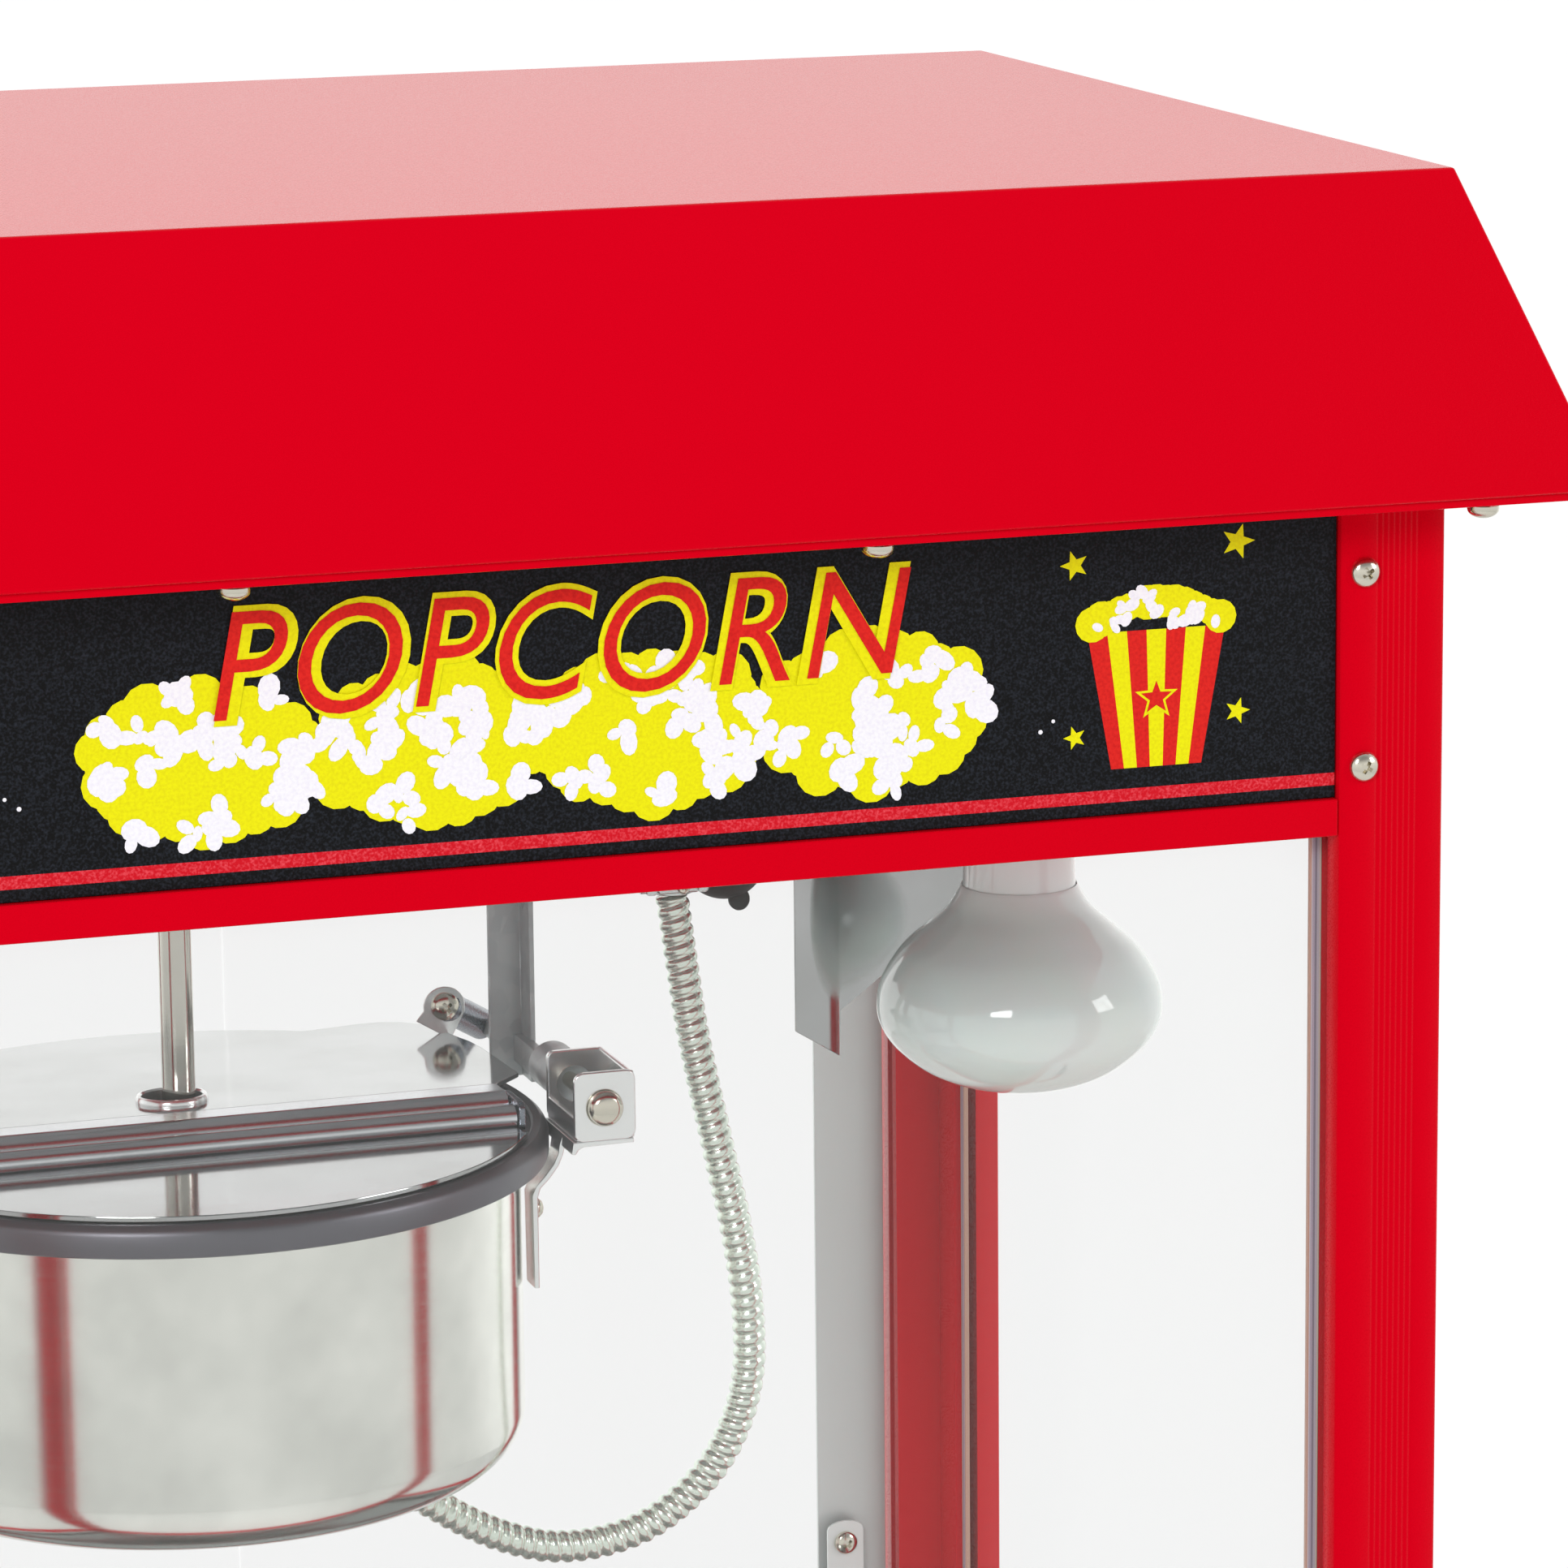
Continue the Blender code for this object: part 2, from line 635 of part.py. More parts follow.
def make_clevis():
    """The bracket that swings on the pin, and the strap that joins it to the pot's side."""
    right, left, foot, top = 0.0596, 0.0428, EAVES - 0.189, EAVES - 0.170
    plates = [
        ((left, CLEVIS_FRONT), (right, CLEVIS_FRONT + 0.002)),
        ((left, CLEVIS_BACK - 0.002), (right, CLEVIS_BACK)),
        ((right - 0.002, CLEVIS_FRONT), (right, CLEVIS_BACK)),
    ]
    pieces = [box(f"plate{n}", (*a, foot), (*b, top), "zinc_steel") for n, (a, b) in enumerate(plates)]
    sill = foot - 0.002
    outline = [
        (right, foot + 0.0005),
        (right, sill),
        (0.0425, sill),
        (0.0425, EAVES - 0.1985),
        (0.0344, EAVES - 0.2055),
        (0.0344, EAVES - 0.2325),
        (0.0324, EAVES - 0.2325),
        (0.0324, EAVES - 0.2045),
        (0.0405, EAVES - 0.1975),
        (0.0405, foot + 0.0005),
    ]
    clevis = prism("kettle_clevis", outline, "Y", -0.051, -0.042, "zinc_steel")
    combine(clevis, "UNION", *pieces)
    pin_at = (PIN_X, CLEVIS_FRONT - 0.01, PIN_Z)
    bore = rod("pin_bore", PIN_R + FIT, pin_at, (PIN_X, CLEVIS_BACK + 0.01, PIN_Z), "zinc_steel", "Y")
    combine(clevis, "DIFFERENCE", bore)
    return clevis


def make_hanger():
    """The fixed side: an angle down from the ceiling, an arm forward from it, and the pin."""
    back, top, foot = 0.020, CEILING - GAP, EAVES - 0.187
    outline = [
        (0.0410, back),
        (0.0410, back + SHEET),
        (0.0520, back + SHEET),
        (0.0520, back - 0.009),
        (0.0505, back - 0.009),
        (0.0505, back),
    ]
    hanger = prism("hanger_right", outline, "Z", foot, top, "zinc_steel")
    low, high = (0.0466, -0.024, PIN_Z - 0.0060), (0.0515, back + 0.001, PIN_Z + 0.0060)
    arm = box("arm", low, high, "zinc_steel")
    boss_at = (PIN_X, -0.028, PIN_Z)
    boss = rod("boss", 0.0078, boss_at, (PIN_X, -0.010, PIN_Z), "zinc_steel", "Y")
    low, high = (0.0300, back, CEILING - 0.0018), (0.0640, back + 0.016, CEILING - GAP)
    ear = box("ear", low, high, "zinc_steel")
    bore_at = (PIN_X, -0.04, PIN_Z)
    bore = rod("bore", PIN_R + FIT, bore_at, (PIN_X, -0.014, PIN_Z), "zinc_steel", "Y")
    low, high = (0.0466, back + 0.001, PIN_Z - 0.0060), (0.0515, 0.062, PIN_Z)
    spur = box("spur", low, high, "zinc_steel")
    stop_foot = Vector((0.0490, 0.058, PIN_Z - 0.0040))
    stop_end = Vector((0.0330, 0.040, EAVES - 0.1725))
    slant = stop_end - stop_foot
    stop = rod("stop", 0.0048, (0, 0, 0), (0, 0, slant.length), "zinc_steel")
    stop.location = stop_foot
    stop.rotation_euler = slant.to_track_quat("Z", "X").to_euler()
    combine(hanger, "UNION", arm, boss, ear, spur, stop)
    combine(hanger, "DIFFERENCE", bore)
    head = 0.0049
    profile = [(0, -0.0655), (head, -0.0655), (head, -0.0145), (0, -0.0145)]
    turned("pivot_pin", profile, (PIN_X, 0, PIN_Z), "chrome", "Y", 24)


def make_handle():
    """The lever at the pot's left rear that swings the kettle, and its grip."""
    left = KETTLE_X - 0.060
    pad_y = KETTLE_Y + math.sqrt(POT_R**2 - 0.0555**2) + GAP
    level = EAVES - 0.215
    lever = tube("kettle_handle", [(left, pad_y, level), (left, 0.088, level)], 0.0045, "zinc_steel", 2)
    profile = [(0, 0), (0.009, 0), (0.011, 0.012), (0.011, 0.050), (0.008, 0.060), (0, 0.062)]
    grip = turned("handle_grip", profile, (left, 0.0883, level), "black_plastic", "Y", 20)
    return [lever, grip]


def make_agitator():
    """The stirring shaft, slotted at its top for the drive, with two arms above the pot's floor."""
    top = COUPLING_BOTTOM - GAP
    profile = [
        (0, POT_BOTTOM + 0.004),
        (SHAFT_R, POT_BOTTOM + 0.004),
        (SHAFT_R, top - 0.014),
        (0.0075, top - 0.012),
        (0.0075, top),
        (0, top),
    ]
    shaft = turned("agitator", profile, (KETTLE_X, KETTLE_Y, 0), "polished_steel", steps=24)
    arm = box(
        "arm",
        (KETTLE_X - 0.078, KETTLE_Y - 0.003, POT_BOTTOM + 0.0045),
        (KETTLE_X + 0.078, KETTLE_Y + 0.003, POT_BOTTOM + 0.0115),
        "polished_steel",
    )
    slot = box(
        "slot",
        (KETTLE_X - 0.010, KETTLE_Y - 0.0022, top - 0.007),
        (KETTLE_X + 0.010, KETTLE_Y + 0.0022, top + 0.005),
        "polished_steel",
    )
    combine(shaft, "UNION", arm)
    combine(shaft, "DIFFERENCE", slot)
    return shaft


def make_kettle():
    """Everything that swings on the kettle's pin."""
    pieces = make_pot()
    lids, bracket = make_lids()
    clevis = make_clevis()
    handle = make_handle()
    shaft = make_agitator()
    terminal = box(
        "terminal_box",
        (-0.052, -0.040, POT_BOTTOM - 0.015),
        (-0.012, 0.010, POT_BOTTOM - GAP),
        "polished_steel",
    )
    pieces += [bracket, clevis, terminal, *handle]
    axis = pivot("kettle_axis", (PIN_X, 0, PIN_Z), pieces)
    for lid, hinge in lids:
        inner = pivot(f"{lid.name}_axis", hinge, [lid])
        inner.parent = axis
        inner.matrix_parent_inverse = Matrix.Translation(-Vector(axis.location))
    rear_hinge = bpy.data.objects["lid_rear_axis"]
    rear_hinge.rotation_euler.x = math.radians(-2.7)
    spin = pivot("agitator_axis", (KETTLE_X, KETTLE_Y, POT_BOTTOM), [shaft])
    spin.parent = axis
    spin.matrix_parent_inverse = Matrix.Translation(-Vector(axis.location))


def make_lamp():
    """The heat lamp: a reflector bulb in a ceramic holder, with a folded screen beside it."""
    crown, widest, neck = EAVES - 0.185, EAVES - 0.160, EAVES - 0.124
    cap_foot, cap_top = EAVES - 0.088, EAVES - 0.074
    profile = [
        (0, crown),
        (0.014, crown + 0.0012),
        (0.026, crown + 0.0055),
        (0.035, crown + 0.0125),
        (0.0392, crown + 0.0190),
        (0.0400, widest),
        (0.0385, widest + 0.0065),
        (0.0335, widest + 0.0145),
        (0.0265, widest + 0.0210),
        (0.0200, widest + 0.0270),
        (0.0165, widest + 0.0330),
        (0.0157, neck),
        (0.0150, cap_foot - 0.002),
        (0.0135, cap_foot),
        (0.0135, cap_top),
        (0, cap_top),
    ]
    turned("lamp_bulb", profile, (LAMP_X, LAMP_Y, 0), "lamp_glass", steps=36)
    holder = [
        (0.0138, cap_foot + 0.001),
        (0.0200, cap_foot + 0.001),
        (0.0200, EAVES - 0.040),
        (0.0260, EAVES - 0.034),
        (0.0260, CEILING - GAP),
        (0, CEILING - GAP),
        (0, cap_top + GAP),
        (0.0138, cap_top + GAP),
    ]
    turned("lamp_holder", holder, (LAMP_X, LAMP_Y, 0), "white_ceramic", steps=28)

    ridge, wing, tail = (0.1397, 0.000), (0.1275, 0.0035), (0.1900, 0.0125)
    thick = 0.001
    outline = [
        wing,
        ridge,
        tail,
        (tail[0], tail[1] + thick),
        (ridge[0], ridge[1] + thick),
        (wing[0], wing[1] + thick),
    ]
    screen = prism("lamp_screen", outline, "Z", EAVES - 0.1885, CEILING - GAP, "polished_steel")
    below = [
        (0.1200, EAVES - 0.1755),
        (ridge[0], EAVES - 0.1875),
        (ridge[0] + 0.0005, EAVES - 0.1740),
        (0.2000, EAVES - 0.1380),
        (0.2000, EAVES - 0.2000),
        (0.1200, EAVES - 0.2000),
    ]
    trim = prism("trim", below, "Y", -0.02, 0.04, "polished_steel")
    foot = box("foot", (0.150, 0.0035, CEILING - 0.0015), (0.185, 0.024, CEILING - GAP), "polished_steel")
    combine(screen, "DIFFERENCE", trim)
    combine(screen, "UNION", foot)


CONDUIT_ROUTE = [
    (0.0836, -0.020, EAVES - 0.1315),
    (0.0850, -0.020, EAVES - 0.1420),
    (0.0866, -0.020, EAVES - 0.1540),
    (0.0884, -0.020, EAVES - 0.1670),
    (0.0912, -0.020, EAVES - 0.1820),
    (0.0944, -0.020, EAVES - 0.1970),
    (0.0976, -0.020, EAVES - 0.2120),
    (0.1008, -0.020, EAVES - 0.2270),
    (0.1034, -0.020, EAVES - 0.2430),
    (0.1050, -0.019, EAVES - 0.2575),
    (0.1052, -0.018, EAVES - 0.2720),
    (0.1025, -0.017, EAVES - 0.2855),
    (0.0967, -0.016, EAVES - 0.2980),
    (0.0877, -0.015, EAVES - 0.3085),
    (0.0757, -0.014, EAVES - 0.3167),
    (0.0615, -0.013, EAVES - 0.3208),
    (0.0470, -0.013, EAVES - 0.3205),
    (0.0336, -0.013, EAVES - 0.3162),
    (0.0214, -0.014, EAVES - 0.3096),
    (0.0100, -0.015, EAVES - 0.3018),
    (-0.0010, -0.016, EAVES - 0.2950),
    (-0.0095, -0.017, EAVES - 0.2905),
]


def make_conduit():
    """The kettle's flexible steel conduit, from a connector under the ceiling to the pot's foot."""
    tube("conduit", smooth_route(CONDUIT_ROUTE, 3), CONDUIT_R, "polished_steel", 2)
    start = CONDUIT_ROUTE[0]
    foot = start[2] + GAP + 0.0008
    profile = [
        (0, foot),
        (0.0062, foot),
        (0.0062, foot + 0.004),
        (0.0085, foot + 0.004),
        (0.0085, foot + 0.012),
        (0.0070, foot + 0.012),
        (0.0070, CEILING - GAP),
        (0, CEILING - GAP),
    ]
    turned("conduit_connector", profile, (start[0], start[1], 0), "zinc_steel", steps=20)
    cap = EAVES - 0.1395
    profile = [
        (0, cap),
        (0.0065, cap + 0.001),
        (0.0100, cap + 0.0045),
        (0.0113, cap + 0.0100),
        (0.0113, CEILING - GAP),
        (0, CEILING - GAP),
    ]
    turned("kettle_socket", profile, (0.1072, 0.006, 0), "black_plastic", steps=24)


def make_cart():
    """The cart: a sheet top, two welded tube frames, a shelf, a push handle, an axle and feet."""
    top_low, top_high = 0.755, CART_TOP
    top_x, top_y, wall = 0.262, 0.2005, 0.002
    top = box("cart_top", (-top_x, -top_y, top_low), (top_x, top_y, top_high), "red_powder_coat")
    low, high = (wall - top_x, wall - top_y, top_low - 0.01), (top_x - wall, top_y - wall, top_high - wall)
    under = box("under", low, high, "red_powder_coat")
    combine(top, "DIFFERENCE", under)

    frame_top = top_high - wall - GAP
    half = TUBE / 2
    for name, side in (("front", -1), ("rear", 1)):
        y_low, y_high = side * LEG_Y - half, side * LEG_Y + half
        frame = box(
            f"cart_frame_{name}",
            (LEG_X - half, y_low, 0.030 + GAP),
            (LEG_X + half, y_high, frame_top),
            "red_powder_coat",
        )
        bars = {
            "leg": ((WHEEL_X - half, 0.175), (WHEEL_X + half, frame_top)),
            "upper": ((WHEEL_X, frame_top - TUBE), (LEG_X, frame_top)),
            "lower": ((WHEEL_X, 0.270), (LEG_X, 0.270 + TUBE)),
        }
        for bar, ((x_low, z_low), (x_high, z_high)) in bars.items():
            low, high = (x_low, y_low, z_low), (x_high, y_high, z_high)
            combine(frame, "UNION", box(f"{bar}_{name}", low, high, "red_powder_coat"))
        low, high = (WHEEL_X, y_low - 0.01, WHEEL_R), (WHEEL_X, y_high + 0.01, WHEEL_R)
        bore = rod(f"axle_bore_{name}", AXLE_R + FIT, low, high, "red_powder_coat", "Y")
        combine(frame, "DIFFERENCE", bore)
        foot = [(0, 0), (0.017, 0), (0.014, 0.030), (0, 0.030)]
        turned(f"foot_{name}", foot, (LEG_X, side * LEG_Y, 0), "rubber", steps=24)

    left, right, shelf_y = -0.205, 0.245, LEG_Y - half - GAP
    foot, brim = 0.272, 0.294
    shelf = box("cart_shelf", (left, -shelf_y, foot), (right, shelf_y, brim), "red_powder_coat")
    low = (left + SHEET, SHEET - shelf_y, foot + SHEET)
    high = (right - SHEET, shelf_y - SHEET, brim + 0.02)
    well = box("well", low, high, "red_powder_coat")
    combine(shelf, "DIFFERENCE", well)

    axle_end = 0.262
    rod("axle", AXLE_R, (WHEEL_X, -axle_end, WHEEL_R), (WHEEL_X, axle_end, WHEEL_R), "zinc_steel", "Y")
    reach = LEG_X + half + GAP
    bend = 0.060
    near = [(reach, -LEG_Y, HANDLE_Z)]
    first = arc((HANDLE_X - bend, -LEG_Y + bend), bend, -90, 0, 8)
    second = arc((HANDLE_X - bend, LEG_Y - bend), bend, 0, 90, 8)
    far = [(reach, LEG_Y, HANDLE_Z)]
    points = near + [(x, y, HANDLE_Z) for x, y in first + second] + far
    tube("push_handle", points, HANDLE_R, "red_powder_coat", 3)


def make_wheels():
    """Two spoked steel wheels with rubber tyres, turning on the axle."""
    rim_out, rim_in, rim_half = 0.186, 0.174, 0.012
    hub_r, hub_half = 0.026, 0.019
    for name, side in (("front", -1), ("rear", 1)):
        at = (WHEEL_X, side * WHEEL_Y, WHEEL_R)
        bore = AXLE_R + FIT
        hub_profile = [(bore, -hub_half), (hub_r, -hub_half), (hub_r, hub_half), (bore, hub_half)]
        wheel = turned(f"wheel_{name}", hub_profile, at, "red_powder_coat", "Y", 24)
        rim_profile = [(rim_in, -0.006), (rim_out, -rim_half), (rim_out, rim_half), (rim_in, 0.006)]
        rim = turned(f"rim_{name}", rim_profile, at, "red_powder_coat", "Y", 48)
        combine(wheel, "UNION", rim)
        for number in range(12):
            angle = math.tau * number / 12
            shape = bmesh.new()
            size = {"radius1": 0.004, "radius2": 0.004, "depth": rim_in - hub_r + 0.008}
            middle = (rim_in + hub_r) / 2
            bmesh.ops.create_cone(shape, cap_ends=True, segments=8, **size)
            bmesh.ops.translate(shape, vec=(0, 0, middle), verts=shape.verts)
            turn = Matrix.Rotation(angle, 3, "Y")
            bmesh.ops.rotate(shape, cent=(0, 0, 0), matrix=turn, verts=shape.verts)
            bmesh.ops.translate(shape, vec=at, verts=shape.verts)
            spoke = mesh_object(f"spoke_{name}_{number}", shape, "red_powder_coat")
            combine(wheel, "UNION", spoke)
        seat = rim_out + GAP
        tyre_profile = [
            (seat, -0.012),
            (0.192, -0.0145),
            (0.1975, -0.011),
            (WHEEL_R, -0.005),
            (WHEEL_R, 0.005),
            (0.1975, 0.011),
            (0.192, 0.0145),
            (seat, 0.012),
        ]
        tyre = turned(f"tyre_{name}", tyre_profile, at, "rubber", "Y", 64)
        pivot(f"wheel_{name}_axis", at, [wheel, tyre])


clear_scene()
make_roof()
rear_band = make_headers()
make_switches(rear_band)
make_posts()
make_panes()
make_doors()
make_base()
make_ceiling()
make_kettle()
make_hanger()
make_lamp()
make_conduit()
make_cart()
make_wheels()
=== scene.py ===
"""Looks of a popcorn cart: a glass-sided corn popper with a hanging kettle, on a two-wheeled cart.

X runs to the viewer's right, Y to the back (the operator's side) and Z up, in metres.
"""

import math
import random

import bmesh
import bpy
from mathutils import Matrix, Vector


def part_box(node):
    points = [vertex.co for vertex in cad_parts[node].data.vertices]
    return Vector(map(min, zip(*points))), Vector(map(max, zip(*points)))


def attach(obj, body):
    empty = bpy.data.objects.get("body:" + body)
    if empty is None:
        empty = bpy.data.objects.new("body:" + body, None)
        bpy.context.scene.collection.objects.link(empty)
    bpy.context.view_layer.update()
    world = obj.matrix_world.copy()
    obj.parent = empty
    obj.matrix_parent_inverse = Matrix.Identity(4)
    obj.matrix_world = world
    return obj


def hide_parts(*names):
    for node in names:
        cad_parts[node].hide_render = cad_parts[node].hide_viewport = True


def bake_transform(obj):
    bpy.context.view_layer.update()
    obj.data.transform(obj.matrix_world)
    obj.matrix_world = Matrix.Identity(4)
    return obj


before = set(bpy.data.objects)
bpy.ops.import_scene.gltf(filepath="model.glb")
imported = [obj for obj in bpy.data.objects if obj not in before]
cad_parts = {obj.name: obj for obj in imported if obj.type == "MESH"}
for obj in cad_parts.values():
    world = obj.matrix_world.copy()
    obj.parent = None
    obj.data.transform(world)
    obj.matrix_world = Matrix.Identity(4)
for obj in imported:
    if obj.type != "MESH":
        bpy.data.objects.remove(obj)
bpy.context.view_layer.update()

# Camera, floor and studio.
# A long lens looks from the front left and a little above at the canopy, the sign and the kettle. The floor is a pale
# matt sheet, the room round it is white
# but uneven, brighter low behind and dimmer high in front, and two soft boxes add the highlights.


def srgb(code):
    """A hex colour as linear red, green, blue and an alpha of 1."""
    channels = [int(code[place : place + 2], 16) / 255 for place in (1, 3, 5)]
    return [c / 12.92 if c <= 0.04045 else ((c + 0.055) / 1.055) ** 2.4 for c in channels] + [1.0]


def add_node(tree, kind, settings=None, links=None):
    """Adds a shader node. Settings go to its properties or sockets, links to its sockets."""
    made = tree.nodes.new(kind)
    for name, value in (settings or {}).items():
        if isinstance(name, str) and hasattr(made, name):
            setattr(made, name, value)
        else:
            made.inputs[name].default_value = value
    for name, source in (links or {}).items():
        tree.links.new(source, made.inputs[name])
    return made


def new_material(name, colour, roughness, metallic=0.0, **sockets):
    """A material with its Principled shader's own values set, with its node tree and that shader."""
    made = bpy.data.materials.new(name)
    made.use_nodes = True
    shader = made.node_tree.nodes["Principled BSDF"]
    shader.inputs["Base Color"].default_value = srgb(colour)
    shader.inputs["Roughness"].default_value = roughness
    shader.inputs["Metallic"].default_value = metallic
    for socket, value in sockets.items():
        shader.inputs[socket.replace("_", " ")].default_value = value
    return made, made.node_tree, shader


def place_camera():
    """The long lens, turned by its heading, tilt and a slight roll."""
    heading, tilt, roll = 0.3156, -0.205, -0.0105
    data = bpy.data.cameras.new("camera")
    data.lens = 148.3
    data.sensor_width = 36
    data.clip_start, data.clip_end = 0.05, 60
    camera = bpy.data.objects.new("camera", data)
    turn = Matrix.Rotation(-heading, 4, "Z") @ Matrix.Rotation(math.radians(90) + tilt, 4, "X")
    camera.matrix_world = Matrix.Translation((-0.4348, -1.7102, 1.7357)) @ turn @ Matrix.Rotation(roll, 4, "Z")
    bpy.context.collection.objects.link(camera)
    bpy.context.scene.camera = camera


def lay_floor():
    """A round pale floor, finely mottled so that it reads as a real sheet."""
    bpy.ops.object.select_all(action="DESELECT")
    bpy.ops.mesh.primitive_circle_add(vertices=96, radius=2.6, fill_type="NGON")
    floor = bpy.context.object
    floor.name = "studio_floor"
    paint, tree, shader = new_material("pale_floor_paint", "#F4F4F2", 0.6)
    place = add_node(tree, "ShaderNodeTexCoord")
    mottle = add_node(tree, "ShaderNodeTexNoise", {"Scale": 9.0, "Detail": 3.0}, {"Vector": place.outputs["Object"]})
    tone = add_node(tree, "ShaderNodeValToRGB", None, {"Fac": mottle.outputs["Fac"]})
    tone.color_ramp.elements[0].color = srgb("#F0F0EE")
    tone.color_ramp.elements[1].color = srgb("#F8F8F6")
    tree.links.new(tone.outputs["Color"], shader.inputs["Base Color"])
    floor.data.materials.append(paint)


def light_studio():
    """White room light, brighter low behind and dimmer high in front, and two soft boxes."""
    world = bpy.data.worlds.new("white_studio")
    world.use_nodes = True
    tree = world.node_tree
    tree.nodes.clear()
    place = add_node(tree, "ShaderNodeTexCoord")
    parts = add_node(tree, "ShaderNodeSeparateXYZ", None, {"Vector": place.outputs["Generated"]})
    height = add_node(
        tree,
        "ShaderNodeMapRange",
        {"From Min": -0.5, "From Max": 0.9, "To Min": 0.0, "To Max": 1.0},
        {"Value": parts.outputs["Z"]},
    )
    room = add_node(tree, "ShaderNodeValToRGB", None, {"Fac": height.outputs["Result"]})
    room.color_ramp.elements[0].color = srgb("#DDDEDC")
    room.color_ramp.elements[1].color = srgb("#E3E5E6")
    horizon = room.color_ramp.elements.new(0.40)
    horizon.color = srgb("#FBFBF9")
    strength = None
    for axis, (near, far), (foot, top), share in (
        ("Y", (-0.1, -0.7), (0.10, 0.45), -0.62),
        ("Y", (0.1, 0.6), (0.55, 0.25), 0.45),
    ):
        limits = [("From Min", near), ("From Max", far)]
        facing_way = add_node(tree, "ShaderNodeMapRange", dict(limits), {"Value": parts.outputs[axis]})
        limits = [("From Min", foot), ("From Max", top)]
        level = add_node(tree, "ShaderNodeMapRange", dict(limits), {"Value": parts.outputs["Z"]})
        both = add_node(
            tree,
            "ShaderNodeMath",
            {"operation": "MULTIPLY"},
            {0: facing_way.outputs["Result"], 1: level.outputs["Result"]},
        )
        strength = add_node(
            tree,
            "ShaderNodeMath",
            {"operation": "MULTIPLY_ADD", 1: share, 2: 0.98},
            {0: both.outputs["Value"], **({2: strength.outputs["Value"]} if strength else {})},
        )
    lit = add_node(
        tree,
        "ShaderNodeBackground",
        None,
        {"Color": room.outputs["Color"], "Strength": strength.outputs["Value"]},
    )
    seen = add_node(tree, "ShaderNodeBackground", {"Color": (1, 1, 1, 1), "Strength": 1.02})
    path = add_node(tree, "ShaderNodeLightPath")
    both = add_node(
        tree,
        "ShaderNodeMixShader",
        None,
        {0: path.outputs["Is Camera Ray"], 1: lit.outputs["Background"], 2: seen.outputs["Background"]},
    )
    add_node(tree, "ShaderNodeOutputWorld", None, {"Surface": both.outputs["Shader"]})
    bpy.context.scene.world = world
    soft_boxes = {
        "key_soft_box": ((-1.5, -2.4, 2.7), 0.9, 30),
        "side_soft_box": ((2.1, -1.5, 2.2), 0.8, 12),
    }
    for name, (spot, size, power) in soft_boxes.items():
        data = bpy.data.lights.new(name, "AREA")
        data.shape = "SQUARE"
        data.size = size
        data.energy = power
        box = bpy.data.objects.new(name, data)
        aim = Vector((0.0, 0.0, 1.3)) - Vector(spot)
        box.matrix_world = Matrix.Translation(spot) @ aim.to_track_quat("-Z", "Y").to_matrix().to_4x4()
        bpy.context.collection.objects.link(box)
    bpy.context.scene.view_settings.view_transform = "Standard"


place_camera()
lay_floor()
light_studio()

# Conduit.
# The kettle's wires run in a flexible conduit: a strip of stainless steel wound on itself, whose ribs lock. It hangs
# from a connector under the ceiling, turns under the pot and comes up to the terminal box.

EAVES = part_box("roof_canopy")[0].z
CONDUIT_ROUTE = [
    (0.0836, -0.020, EAVES - 0.1315),
    (0.0850, -0.020, EAVES - 0.1420),
    (0.0866, -0.020, EAVES - 0.1540),
    (0.0884, -0.020, EAVES - 0.1670),
    (0.0912, -0.020, EAVES - 0.1820),
    (0.0944, -0.020, EAVES - 0.1970),
    (0.0976, -0.020, EAVES - 0.2120),
    (0.1008, -0.020, EAVES - 0.2270),
    (0.1034, -0.020, EAVES - 0.2430),
    (0.1050, -0.019, EAVES - 0.2575),
    (0.1052, -0.018, EAVES - 0.2720),
    (0.1025, -0.017, EAVES - 0.2855),
    (0.0967, -0.016, EAVES - 0.2980),
    (0.0877, -0.015, EAVES - 0.3085),
    (0.0757, -0.014, EAVES - 0.3167),
    (0.0615, -0.013, EAVES - 0.3208),
    (0.0470, -0.013, EAVES - 0.3205),
    (0.0336, -0.013, EAVES - 0.3162),
    (0.0214, -0.014, EAVES - 0.3096),
    (0.0100, -0.015, EAVES - 0.3018),
    (-0.0010, -0.016, EAVES - 0.2950),
    (-0.0095, -0.017, EAVES - 0.2905),
]


def smooth_route(points, per_span):
    """A Catmull-Rom curve through points."""
    ends = [points[0], *points, points[-1]]
    route = []
    for a, b, c, d in zip(ends, ends[1:], ends[2:], ends[3:]):
        a, b, c, d = Vector(a), Vector(b), Vector(c), Vector(d)
        for step in range(per_span):
            t = step / per_span
            inner = (2 * a - 5 * b + 4 * c - d) * t**2 + (3 * b - a - 3 * c + d) * t**3
            route.append((2 * b + (c - a) * t + inner) / 2)
    return [*route, Vector(points[-1])]


def even_steps(route, count):
    """Points at equal distances along a route."""
    lengths = [(b - a).length for a, b in zip(route, route[1:])]
    total = sum(lengths)
    spaced, index, passed = [], 0, 0.0
    for step in range(count + 1):
        target = total * step / count
        while index < len(lengths) - 1 and passed + lengths[index] < target:
            passed += lengths[index]
            index += 1
        share = (target - passed) / lengths[index]
        spaced.append(route[index].lerp(route[index + 1], min(share, 1.0)))
    return spaced, total


def put_on(piece, material, body, *nodes, slot=None):
    """Gives a piece its material and its body, and hides the nodes that it stands for."""
    piece.data.materials.clear()
    piece.data.materials.append(material)
    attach(piece, body)
    if nodes:
        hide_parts(*nodes)
    return piece


